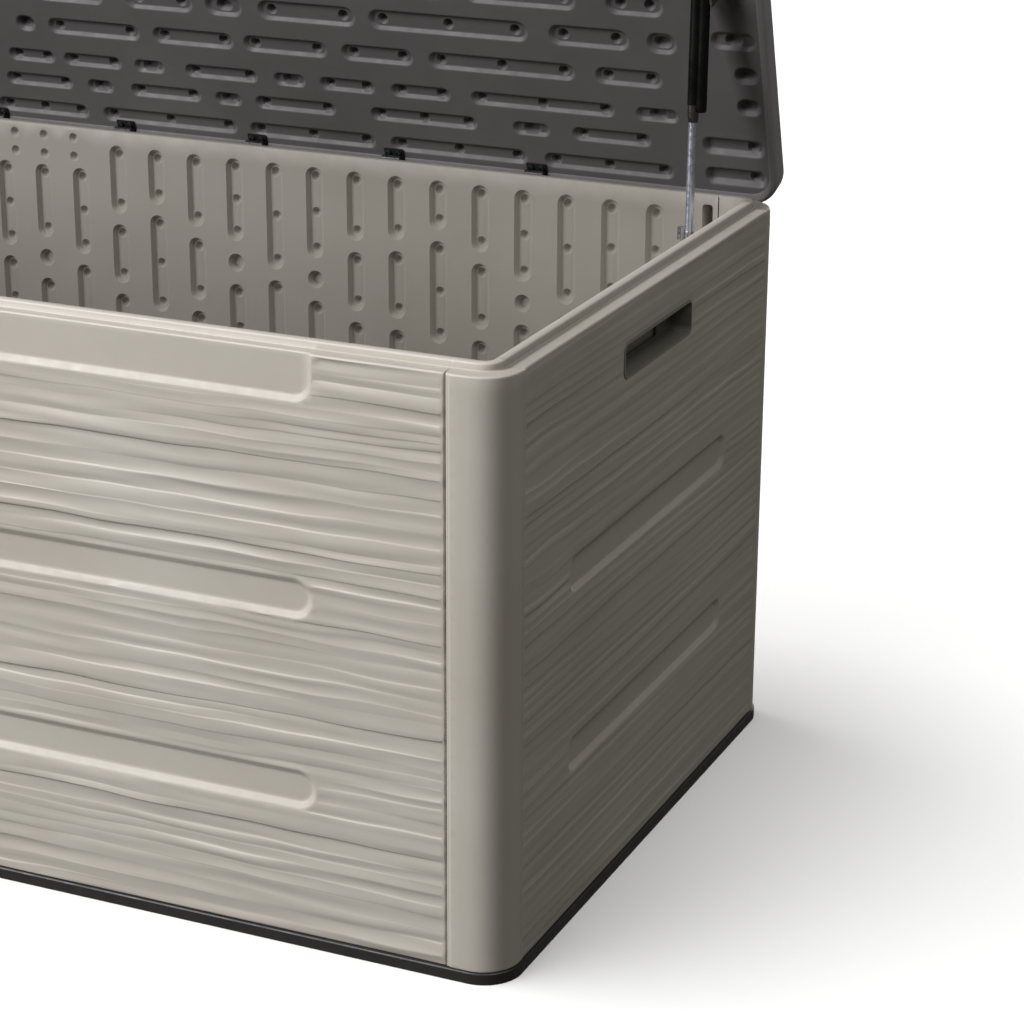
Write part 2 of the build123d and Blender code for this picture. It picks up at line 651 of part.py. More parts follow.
os.makedirs("parts", exist_ok=True)
make_base_tray()
make_front_panel()
make_back_panel()
make_side_panel("left_side_panel", LEFT)
make_side_panel("right_side_panel", RIGHT)
make_handle_cup("left_handle_cup", LEFT)
make_handle_cup("right_handle_cup", RIGHT)
for row, end in (("front", -1), ("rear", 1)):
    make_corner_post(f"{row}_left_post", -1, end)
    make_corner_post(f"{row}_right_post", 1, end)
make_lid()
for number, station in enumerate(HINGE_STATIONS, start=1):
    make_box_leaf(f"hinge_{number}_box_leaf", station)
    make_lid_leaf(f"hinge_{number}_lid_leaf", -station)
    make_hinge_pin(f"hinge_{number}_pin", station)
for label, side in (("left", -1), ("right", 1)):
    make_strut_rod(f"{label}_strut_rod", side)
    make_strut_gland(f"{label}_strut_gland", side)
    make_strut_tube(f"{label}_strut_tube", side)
    make_strut_eye(f"{label}_strut_foot_eye", side, 0, 1, NECK_LENGTH, ROD_SEAT)
    make_strut_eye(f"{label}_strut_head_eye", side, STRUT_OPEN, -1, HEAD_NECK, 0)
    make_stud(f"{label}_strut_foot_stud", side, 0, 0)
    make_stud(f"{label}_strut_head_stud", side, STRUT_OPEN, STUD_GAP)
    make_foot_bracket(f"{label}_strut_foot_bracket", side)
    make_head_bracket(f"{label}_strut_head_bracket", side)
make_screws("hinge_box_screws", [seat for x in HINGE_STATIONS for seat in box_leaf_screws(x)])
make_screws("hinge_lid_screws", [seat for x in HINGE_STATIONS for seat in lid_leaf_screws(x)])
make_screws("strut_box_screws", foot_screws(-1) + foot_screws(1))
make_screws("strut_lid_screws", head_screws(-1) + head_screws(1))
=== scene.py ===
import bmesh
import bpy
import json
import numpy as np
from math import cos, pi, radians, sin
from mathutils import Matrix, Vector
from mathutils.geometry import delaunay_2d_cdt


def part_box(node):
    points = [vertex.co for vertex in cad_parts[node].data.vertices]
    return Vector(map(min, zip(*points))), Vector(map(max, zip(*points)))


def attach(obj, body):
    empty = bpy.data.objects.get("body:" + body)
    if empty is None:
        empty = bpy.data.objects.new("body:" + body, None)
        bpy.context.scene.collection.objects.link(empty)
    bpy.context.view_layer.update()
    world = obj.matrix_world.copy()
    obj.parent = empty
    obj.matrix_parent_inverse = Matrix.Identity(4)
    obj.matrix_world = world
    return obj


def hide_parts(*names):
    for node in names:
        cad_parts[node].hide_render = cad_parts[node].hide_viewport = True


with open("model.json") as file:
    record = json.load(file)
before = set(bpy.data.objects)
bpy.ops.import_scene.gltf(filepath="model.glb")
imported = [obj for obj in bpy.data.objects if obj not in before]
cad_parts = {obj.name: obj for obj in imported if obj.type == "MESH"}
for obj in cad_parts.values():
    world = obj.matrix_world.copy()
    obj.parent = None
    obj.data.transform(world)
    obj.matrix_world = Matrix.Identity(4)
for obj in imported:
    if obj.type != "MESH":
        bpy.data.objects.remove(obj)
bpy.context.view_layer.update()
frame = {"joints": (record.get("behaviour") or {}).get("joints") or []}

# ---- sizes read from the frame, in metres ---------------------------------------
front_low, front_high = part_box("front_panel")
side_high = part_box("right_side_panel")[1]
post_low, post_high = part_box("front_right_post")
lid_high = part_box("lid_shell")[1]
lid_hinge = next(j for j in frame["joints"] if j["name"] == "lid_hinge")
HINGE = Vector(lid_hinge["pos_m"])
LID_ANGLE = radians(lid_hinge["range_deg"][1])
HINGE_COUNT = 6
hinge_pins = [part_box(f"hinge_{n}_pin") for n in range(1, HINGE_COUNT + 1)]
HINGE_STATIONS = [(low.x + high.x) / 2 for low, high in hinge_pins]

HALF_LENGTH = side_high.x
HALF_DEPTH = -front_low.y
FOOT = front_low.z
WALL = front_high.y - front_low.y
RIM_TOP = front_high.z - FOOT
LONG_HALF = front_high.x
SIDE_HALF = side_high.y
POST_FRONT = HALF_LENGTH - post_low.x
POST_SIDE = HALF_DEPTH + post_high.y
SEAM = HALF_LENGTH - POST_FRONT - LONG_HALF

# ---- sizes of the walls and posts, in metres ------------------------------------
RIM_HEIGHT = 0.0075
WALL_HEIGHT = RIM_TOP - RIM_HEIGHT
LEDGE = 0.018
CORNER_RADIUS = 0.038
EDGE_RADIUS = 0.0016
EDGE_STEPS = (0.2, 0.6, 1.0)
TOP_DROP = 0.0022
TOP_TURNS = (22.5, 45, 67.5, 90)
RIM_EDGE = 0.0016
LEDGE_FILLET = 0.0010
LEDGE_RISE = 0.0008
# The rim's profile as (distance in from the ledge, height above the ledge).
RIM_PROFILE = (
    (0.0003, RIM_HEIGHT - 0.0020), (0.0008, RIM_HEIGHT - 0.0008), (0.0020, RIM_HEIGHT),
    (WALL - LEDGE - 0.0020, RIM_HEIGHT), (WALL - LEDGE - 0.0006, RIM_HEIGHT - 0.0006),
)
SIDE_STRIP = 0.0042
STRIP_FADE = 0.0012
STRIP_START, STRIP_END = 0.0024, 0.0052
STRIP_DEPTH = 0.0010
RIM_RUN_ON = 0.9 * SEAM

SLOT_DEPTH = 0.0060
SLOT_BEVEL = 0.0060
LONG_SLOT_HALF = 0.555
LONG_SLOTS = ((0.157, 0.041), (0.356, 0.041))
SIDE_SLOT_HALF = 0.214
SIDE_SLOTS = ((0.168, 0.036), (0.359, 0.038))
SIDE_SLOT_BEVEL = 0.0042
SIDE_SLOT_RADIUS = 0.0125
GRIP_HALF = 0.5585
GRIP_BOTTOM = 0.5515
GRIP_RADIUS = 0.020
HANDLE_SHIFT = 0.007
HANDLE_HEIGHT = 0.5395
HANDLE_HALF = 0.0931
HANDLE_RISE = 0.0186
HANDLE_RADIUS = 0.0081
HANDLE_RECESS = 0.0272
HANDLE_BEVEL = 0.0008
HINGE_PAD = dict(half=0.016, rise=0.022, radius=0.004, depth=0.0, slope=0.003)
HINGE_PAD_DROP = 0.026

# ---- sizes of the pressed patterns inside the walls, in metres --------------------
PILL_RADIUS = 0.0108
PILL_DEPTH = 0.0058
PILL_BEVEL = 0.0034
PILL_GAP = 0.014
PILL_TOP = 0.590
PILL_FOOT = 0.035
PILL_SIDE_TOP = 0.475
PILL_END = 0.0115
SHORTEST_PILL = 0.05
SHORTEST_RECESS = 0.02
LONG_PILL = 0.1
RANDOM_PILLS = (0.025, 0.066, 0.078, 0.092, 0.108, 0.126)
RANDOM_COUNT = 8
DIMPLE_RADIUS = 0.0058
DIMPLE_DEPTH = 0.0065
DIMPLE_BEVEL = 0.0040
LONE_DIMPLE_DEPTH = 0.009
LONE_DIMPLE_SHARE = 2.4
COLUMN_PITCH = 0.054
COLUMN_SHIFT = -0.083
SIDE_COLUMN_PITCH = 0.066
GROUP_COLUMNS = (0.1445, 0.1870, 0.2290)
GROUP_ROWS = (0.571, 0.594)
GROUP_FOOT = 0.557
LOW_COLUMNS = (7, 8, 9)
GAP_PLACE, GAP_HALF, GAP_DEPTH = 0.6815, 0.0060, 0.0235
GAP_LOW, GAP_HIGH = 0.020, 0.596
GAP_RADIUS, GAP_BEVEL = 0.0035, 0.0022

# ---- sizes of the wood grain, in metres -----------------------------------------
BOARDS_LONG = (0.559, 0.494, 0.404, 0.335, 0.235, 0.110)
BOARDS_SIDE = (0.545, 0.455, 0.300, 0.225, 0.095)
BOARDS_LID = (0.10, 0.23, 0.36, 0.49, 0.62)
# Strength, range of pitches and sway of the grain.
GRAIN_LONG = (1.0, (0.008, 0.017), 0.8)
GRAIN_SIDE = (0.50, (0.006, 0.014), 0.5)
GRAIN_LID = (0.6, (0.014, 0.036), 1.0)
DRIFT, SHIVER = 0.0032, 0.0012
SWELL = 0.00078
GRAIN_SINK = 0.0022
LAP_STEP, LAP_WIDTH = 0.00115, 0.0018
LAP_CLEARANCE = 0.006
FIRST_LAP, LAP_TAILS, LAP_FADES = (0.004, 0.012), (0.007, 0.016), (0.3, 1.2)
LAP_SIZES, LAP_WAYS = (0.35, 1.0), (0.3, 0.7)
BOARD_LAP = (1.4, 0.022, 3.0, 0.0)
FADE_MIDDLE, FADE_SWING = 0.62, 0.55
KNOTS = 2
KNOT_MARGIN = 0.08
KNOT_LIFT, KNOT_LENGTH, KNOT_HEIGHT, KNOT_CORE = 0.0055, 0.045, 0.028, 0.009
CALM_REACH = 0.008
CALM_LEVEL = 0.0014
CALM = 0.65

# ---- sizes of the lid, in metres ------------------------------------------------
LID_HALF = lid_high.x
LID_REAR = -0.010
LID_FRONT = HINGE.y + HALF_DEPTH - 0.001
LID_MIDDLE, LID_RISE = (LID_REAR + LID_FRONT) / 2, (LID_FRONT - LID_REAR) / 2
LID_CORNER = 0.038
LID_TOP = 0.025
LID_EDGE_RADIUS = 0.006
LID_BORDER = 0.012
SKIRT_BOTTOM = -0.0015
SKIRT_WIDTH = 0.0085
SKIRT_BEVEL = 0.0042
SKIRT_RADIUS = 0.0045
SKIRT_END = -0.006
SKIRT_LEVELS = (0.008, 0.0135)
LID_FIELD = 0.009
LID_FIELD_DEPTH = LID_FIELD - SKIRT_BOTTOM
NOTCH = dict(half=0.0145, rise=0.0118, radius=0.003, depth=LID_FIELD_DEPTH, slope=0.0010)
NOTCH_PLACE = 0.003
LID_PILL_DEPTH, LID_PILL_BEVEL = 0.0040, 0.0034
LID_DIMPLE = dict(half=0.0064, rise=0.0064, radius=0.0064, depth=0.0080, slope=0.0038)
LID_OVAL = dict(half=0.0105, rise=0.0068, radius=0.0068, depth=0.0080, slope=0.0040)
LID_SHORT_PILL, LID_LONG_PILL = 0.055, 0.130
LID_DIMPLE_INSET = 0.004
POCKET = dict(half=0.036, rise=0.0105, radius=0.0085, depth=0.0062, slope=0.0046)
POCKET_DIMPLE = dict(half=0.0068, rise=0.0068, radius=0.0068, depth=0.0075, slope=0.0042)
POCKET_PLACE, POCKET_DIMPLE_PLACE = 0.702, 0.724
POCKET_ROWS = (0.018, 0.056)
LID_ROW_START, LID_ROW_PITCH, LID_ROW_END = 0.266, 0.0445, LID_FRONT - 0.05
LID_ROW_WIDTH = 0.025
LID_ROW_REACH = 0.640
EDGE_PILL_PLACE = 0.7385
EDGE_PILLS = ((0.108, 0.014), (0.147, 0.014), (0.188, 0.026))
EDGE_PILL_WIDTH = 0.021
EDGE_ROW_START, EDGE_ROW_PLACE, EDGE_ROW_HALF, EDGE_ROW_WIDTH = 0.320, 0.702, 0.03, 0.024

# ---- spacing of the meshes' points, in metres -----------------------------------
RING_STEP = 0.010
RING_GAP = 0.0009
RING_REACH = 0.004
RING_MARGIN = 0.0004
FACE_REACH = 0.002
SMALL_RECESS = 0.012
FINE_ARC, COARSE_ARC = 14, 5
LEAST_RADIUS = 0.0002
PLAN_SQUEEZE = 0.4
WELD = 1e-6
CREASE_ANGLE = 38
LAP_ROWS = (-0.0011, -0.00045, 0.00045, 0.0011)
LAP_ROW_GAP = 0.0016
PLAIN_ROW_STEP = 0.0045
GRAIN_OVERRUN = 0.02
WALL_STEP, WALL_ROW_STEP = 0.010, 0.006
GRAIN_STEP, GRAIN_START, GRAIN_END = 0.008, 0.006, 0.003
GRAIN_FOOT, GRAIN_HEAD = 0.0022, 0.0012
POST_ROW_STEP, POST_ROW_START = 0.02, 0.004
INNER_ROW_STEP = 0.012
INNER_STEP, INNER_START, INNER_END = 0.025, 0.01, 0.005
LID_STEP, LID_SPAN = 0.02, (-0.73, 0.735)
ROOF_STEP, ROOF_SPAN, ROOF_MARGIN = 0.010, (-0.75, 0.755), 0.002
OUTLINE_STEP, OUTLINE_CUT = 0.012, 0.1
OUTLINE_ARC = 10


# ---- relief ---------------------------------------------------------------------
def smooth(x):
    """0 below 0, 1 above 1, and an even curve between."""
    x = np.clip(x, 0, 1)
    return x * x * (3 - 2 * x)


BEVEL_EASE = 0.12
BEVEL_LINES = (-BEVEL_EASE, BEVEL_EASE, 1 - BEVEL_EASE, 1 + BEVEL_EASE)
RING_LINES = (-0.5, *BEVEL_LINES, 1.5)


def bevel(t):
    """A bevel's profile from 0 to 1: straight, with both of its corners eased."""
    e = BEVEL_EASE
    foot = (t + e) ** 2 / (4 * e)
    head = 1 - (1 - t + e) ** 2 / (4 * e)
    return np.select((t < -e, t < e, t < 1 - e, t < 1 + e), (0, foot, t, head), 1)


def waves(seed, count, u_pitch, v_pitch):
    """A smooth random field of u and v, made of cosines with pitches between limits."""
    rng = np.random.default_rng(seed)
    ku = 2 * pi / rng.uniform(*u_pitch, count) * rng.choice((-1, 1), count)
    kv = 2 * pi / rng.uniform(*v_pitch, count)
    phase = rng.uniform(0, 2 * pi, count)
    size = rng.uniform(0.5, 1.0, count) / np.sqrt(count)

    def field(u, v):
        return sum(s * np.cos(a * u + b * v + p) for a, b, p, s in zip(ku, kv, phase, size))

    return field


class WoodGrain:
    """Relief of weathered boards: long wavering laps that fade in and out along u."""

    def __init__(self, seed, half, height, boards, strength, pitch, sway):
        rng = np.random.default_rng(seed)
        self.drift = waves(seed + 1, 5, (0.5, 1.5), (0.15, 0.5))
        self.shiver = waves(seed + 2, 6, (0.07, 0.25), (0.03, 0.10))
        self.swell = waves(seed + 3, 12, (0.25, 1.1), (0.009, 0.024))
        self.strength, self.sway = strength, sway
        self.laps = []
        v = rng.uniform(*FIRST_LAP)
        while v < height + GRAIN_OVERRUN:
            if all(abs(v - b) > LAP_CLEARANCE for b in boards):
                size = rng.uniform(*LAP_SIZES) * rng.choice((1, -1), p=LAP_WAYS)
                tail, fade_pitch = rng.uniform(*LAP_TAILS), rng.uniform(*LAP_FADES)
                self.laps.append((v, size, tail, fade_pitch, rng.uniform(0, 2 * pi)))
            v += rng.uniform(*pitch)
        self.laps += [(b, *BOARD_LAP) for b in boards]
        self.knots = [(rng.uniform(-half, half), rng.uniform(KNOT_MARGIN, height - KNOT_MARGIN))
                      for _ in range(KNOTS)]

    def bend(self, u, v):
        """How far the grain at a place lies above its own level."""
        total = self.sway * (DRIFT * self.drift(u, v) + SHIVER * self.shiver(u, v))
        for ku, kv in self.knots:
            reach = np.exp(-((u - ku) / KNOT_LENGTH) ** 2 - np.abs(v - kv) / KNOT_HEIGHT)
            total = total - KNOT_LIFT * reach * np.tanh((v - kv) / KNOT_CORE)
        return total

    def level(self, u, v):
        return v + self.bend(u, v)

    def place(self, u, y):
        """The v where the grain that belongs at level y passes u."""
        v = y
        for _ in range(12):
            v = y - self.bend(u, v)
        return v

    def rows(self, height):
        """Levels that a mesh needs: close beside each lap and sparse elsewhere."""
        tight = np.concatenate([lap[0] + np.array(LAP_ROWS) for lap in self.laps])
        plain = np.arange(-GRAIN_OVERRUN, height + GRAIN_OVERRUN, PLAIN_ROW_STEP)
        gap = np.abs(plain[:, None] - tight).min(axis=1)
        return np.sort(np.concatenate((tight, plain[gap > LAP_ROW_GAP])))

    def __call__(self, u, v):
        """Height of the relief, from about -3 mm up to the flat face at 0."""
        y = self.level(u, v)
        relief = SWELL * self.swell(u, y)
        for centre, size, tail, pitch, phase in self.laps:
            d = (y - centre) * np.sign(size)
            fade = np.clip(FADE_MIDDLE + FADE_SWING * np.cos(2 * pi * u / pitch + phase), 0.0, 1.0)
            step = smooth(d / LAP_WIDTH + 0.5) * np.exp(-np.clip(d, 0, None) / tail)
            relief = relief + LAP_STEP * abs(size) * fade * step
        return np.minimum(self.strength * (relief - GRAIN_SINK), 0.0)


def plain_face(u, v):
    return np.zeros(np.broadcast(u, v).shape)


# ---- pressed features -----------------------------------------------------------
def quarter_arcs(arc):
    """Angles of a quarter turn, once for each corner with the signs of its u and v."""
    turn = np.linspace(0, pi / 2, arc + 1)[:, None]
    for number, signs in enumerate(((1, 1), (-1, 1), (-1, -1), (1, -1))):
        yield turn + number * pi / 2, signs


class Recess:
    """A rounded rectangle pressed in by a depth, centred at (u, v).

    slope is the width of its bevel, clears says that the grain stops in it, open_top
    that it runs out over the top of the wall, and shared that it doesn't add up with
    the other shared recesses that it overlaps.
    """

    def __init__(self, u, v, half, rise, radius, depth, slope,
                 clears=False, open_top=False, shared=False):
        self.u, self.v, self.half, self.rise = u, v, half, rise
        self.radius, self.depth, self.slope = radius, depth, slope
        self.clears, self.open_top, self.shared = clears, open_top, shared

    def inside(self, p):
        """How far points lie inside the rim, negative outside."""
        r = self.radius
        du = np.abs(p[:, 0] - self.u) - (self.half - r)
        low = self.v - self.rise + r - p[:, 1]
        high = p[:, 1] - (self.v + self.rise - r)
        dv = low if self.open_top else np.maximum(low, high)
        outer = np.hypot(np.maximum(du, 0), np.maximum(dv, 0))
        return r - outer - np.minimum(np.maximum(du, dv), 0)

    def near(self, p, margin):
        return ((np.abs(p[:, 0] - self.u) < self.half + margin)
                & (np.abs(p[:, 1] - self.v) < self.rise + margin))

    def share(self, p):
        """0 on the face around the recess, 1 on its floor."""
        return bevel(self.inside(p) / self.slope)

    def outline(self, inset, arc):
        """Points along the rim moved inwards, anticlockwise from the upper right."""
        r = max(self.radius - inset, LEAST_RADIUS)
        half, rise = self.half - inset, self.rise - inset
        corners = []
        for a, (su, sv) in quarter_arcs(arc):
            if self.open_top and sv > 0:
                corners.append(np.array([[self.u + su * half, self.v + self.rise]]))
                continue
            centre = np.array((self.u + su * (half - r), self.v + sv * (rise - r)))
            corners.append(centre + r * np.hstack((np.cos(a), np.sin(a))))
        if self.open_top:
            return np.vstack((corners[1], corners[2], corners[3], corners[0]))
        loop = np.vstack(corners)
        return np.vstack((loop, loop[:1]))


def dimple(u, v, radius=DIMPLE_RADIUS, depth=DIMPLE_DEPTH):
    return Recess(u, v, radius, radius, radius, depth, DIMPLE_BEVEL)


def dimpled_pill(u, v, length, count):
    """An upright round-ended recess with a row of dimples in its floor."""
    found = [Recess(u, v, PILL_RADIUS, length / 2, PILL_RADIUS, PILL_DEPTH, PILL_BEVEL)]
    reach = length / 2 - PILL_END
    return found + [dimple(u, v + t) for t in np.linspace(-reach, reach, count)]


# ---- meshes ---------------------------------------------------------------------
def resample(line, step):
    """Adds points to a polyline so that none lie further apart than step."""
    out = [line[:1]]
    for a, b in zip(line[:-1], line[1:]):
        n = max(int(np.ceil(np.hypot(*(b - a)) / step)), 1)
        out.append(a + (b - a) * (np.arange(1, n + 1) / n)[:, None])
    return np.vstack(out)


def ring_points(features, loose):
    """Contours that recesses need, and which of the loose points stay clear of them."""
    keep = np.ones(len(loose), bool)
    rings = []
    for f in features:
        spots = np.flatnonzero(f.near(loose, RING_REACH))
        depth = f.inside(loose[spots])
        levels = BEVEL_LINES if f.open_top else RING_LINES
        for t in levels:
            keep[spots[np.abs(depth - t * f.slope) < RING_GAP]] = False
        keep[spots[(depth > 0) & (depth < f.slope)]] = False
        if min(f.half, f.rise) < SMALL_RECESS:
            keep[spots[depth > -RING_GAP]] = False
        for t in levels:
            inset = t * f.slope
            if inset < min(f.half, f.rise) - RING_MARGIN:
                arc = FINE_ARC if f.radius > SMALL_RECESS else COARSE_ARC
                rings.append(resample(f.outline(inset, arc), RING_STEP))
        if f.half == f.rise:
            rings.append(np.array([[f.u, f.v]]))
    return rings, keep


def press(features, found, w):
    """Calms the relief w at and around the recesses and returns how deep they press it."""
    drop, together = np.zeros(len(found)), np.zeros(len(found))
    for f in features:
        spots = np.flatnonzero(f.near(found, FACE_REACH))
        share = f.share(found[spots])
        if f.shared:
            together[spots] = np.maximum(together[spots], f.depth * share)
        else:
            drop[spots] += f.depth * share
        if f.clears:
            w[spots] *= 1 - share
            around = np.flatnonzero(f.near(found, CALM_REACH))
            calm = CALM * smooth(1 + f.inside(found[around]) / CALM_REACH)
            level = np.minimum(f.depth, CALM_LEVEL) * (f.share(found[around]) - 1)
            w[around] += calm * level - calm * w[around]
    return drop + together


class Body:
    """Points and faces of one closed mesh."""

    def __init__(self, place):
        self.place, self.points, self.faces, self.count = place, [], [], 0

    def add(self, u, v, w):
        points = np.stack(np.broadcast_arrays(*self.place(u, v, w)), axis=-1).reshape(-1, 3)
        self.points.append(points)
        self.count += len(points)
        return np.arange(self.count - len(points), self.count)

    def strip(self, a, b, closed=False):
        """Quads between two rows of vertices."""
        if closed:
            a, b = np.append(a, a[0]), np.append(b, b[0])
        self.faces.append(np.c_[a[:-1], a[1:], b[1:], b[:-1]])

    def cap(self, loop, plan):
        """Fills a flat loop of vertices, whose places in its plane are plan."""
        _, _, faces, sources, _, _ = delaunay_2d_cdt(
            [Vector(p) for p in plan.tolist()], [], [list(range(len(loop)))], 1, 1e-9)
        first = np.array([min(s) for s in sources])
        self.faces.append(loop[first[np.array(faces)]])

    def sheet(self, boundary, loose, features, relief, lines=(), grain=None, side=-1, level=0.0):
        """Adds a relief surface inside a closed outline and returns the outline's vertices.

        loose are the points that carry the relief, lines further edges to follow and
        grain the wood grain that the mesh runs along. side is -1 where a recess lowers
        w and 1 where it raises it, and level the w of the plain face.
        """
        rings, keep = ring_points(features, loose)
        points, edges, start = [boundary], [], len(boundary)
        for ring in rings + list(lines):
            edges += [(start + i, start + i + 1) for i in range(len(ring) - 1)]
            points.append(ring)
            start += len(ring)
        points.append(loose[keep])
        flat = np.vstack(points)
        plan = flat.copy()
        if grain:
            plan[:, 1] = grain.level(flat[:, 0], flat[:, 1])
            plan[:, 0] *= PLAN_SQUEEZE
        found, _, faces, sources, _, _ = delaunay_2d_cdt(
            [Vector(p) for p in plan.tolist()], edges, [list(range(len(boundary)))], 1, 1e-6)
        found = np.array([tuple(p) for p in found])
        source = np.array([min(s) if s else -1 for s in sources])
        made = source < 0
        if grain:
            found[:, 0] /= PLAN_SQUEEZE
            found[made, 1] = grain.place(found[made, 0], found[made, 1])
        found[~made] = flat[source[~made]]
        u, v = found.T
        w = relief(u, v)
        pressed = press(features, found, w)
        w = level + w + side * pressed
        ids = self.add(u, v, w)
        self.faces.append(ids[np.array(faces)])
        back = np.full(len(boundary), -1)
        on_edge = np.flatnonzero((source >= 0) & (source < len(boundary)))
        back[source[on_edge]] = on_edge
        return ids[back], w[back]

    def piece(self, name, material):
        points = np.vstack(self.points)
        faces = [tuple(f) for rows in self.faces for f in rows.tolist()]
        data = bpy.data.meshes.new(name)
        data.from_pydata(points.tolist(), [], faces)
        bm = bmesh.new()
        bm.from_mesh(data)
        bmesh.ops.remove_doubles(bm, verts=bm.verts, dist=WELD)
        bmesh.ops.recalc_face_normals(bm, faces=bm.faces)
        open_edges = sum(not e.is_manifold for e in bm.edges)
        if open_edges:
            print("open edges in", name, open_edges)
        bm.to_mesh(data)
        bm.free()
        data.shade_smooth()
        data.set_sharp_from_angle(angle=radians(CREASE_ANGLE))
        data.materials.append(material)
        piece = bpy.data.objects.new(name, data)
        bpy.context.scene.collection.objects.link(piece)
        return piece


# ---- walls and posts ------------------------------------------------------------
def straight_wall(outward):
    """Turns (u along, v up, w outwards) into the row frame for one side of the box."""
    ox, oy = outward
    reach = HALF_LENGTH * abs(ox) + HALF_DEPTH * abs(oy)

    def place(u, v, w):
        return -oy * u + ox * (reach + w), ox * u + oy * (reach + w), FOOT + v + 0 * u

    return place


def corner_wall(side, end):
    """The same for a post: u runs from the long wall's seam round to the side wall's."""
    flat = POST_FRONT - CORNER_RADIUS
    bend = CORNER_RADIUS * pi / 2
    cx, cy = HALF_LENGTH - CORNER_RADIUS, HALF_DEPTH - CORNER_RADIUS

    def place(u, v, w):
        angle = np.clip((u - flat) / CORNER_RADIUS, 0, pi / 2)
        before = np.minimum(u - flat, 0)
        after = np.maximum(u - flat - bend, 0)
        x = cx + before + (CORNER_RADIUS + w) * np.sin(angle)
        y = cy - after + (CORNER_RADIUS + w) * np.cos(angle)
        return side * x, end * y, FOOT + v + 0 * u

    return place, flat + bend + POST_SIDE - CORNER_RADIUS


def edge_drop(distance, radius):
    """How far a rounded edge has fallen at a distance in from it."""
    d = np.clip(radius - distance, 0, radius)
    return radius - np.sqrt(radius ** 2 - d ** 2)


def spaced(low, high, step, extra=()):
    """Even steps between two ends that give way to the extra values."""
    extra = np.array([low, high, *extra])
    even = np.linspace(low, high, max(int((high - low) / step), 1) + 1)
    gap = np.abs(even[:, None] - extra).min(axis=1)
    return np.sort(np.concatenate((extra, even[gap > step / 4])))


def outline(u_row, v_row, v_top):
    """Closed outline of a wall's face, anticlockwise from its lower left corner."""
    right = np.c_[np.full(len(v_row), u_row[-1]), v_row]
    left = np.c_[np.full(len(v_row), u_row[0]), v_row[::-1]]
    upper = np.c_[u_row[::-1], np.full(len(u_row), v_top)]
    return np.vstack((np.c_[u_row, 0 * u_row], right, upper, left))


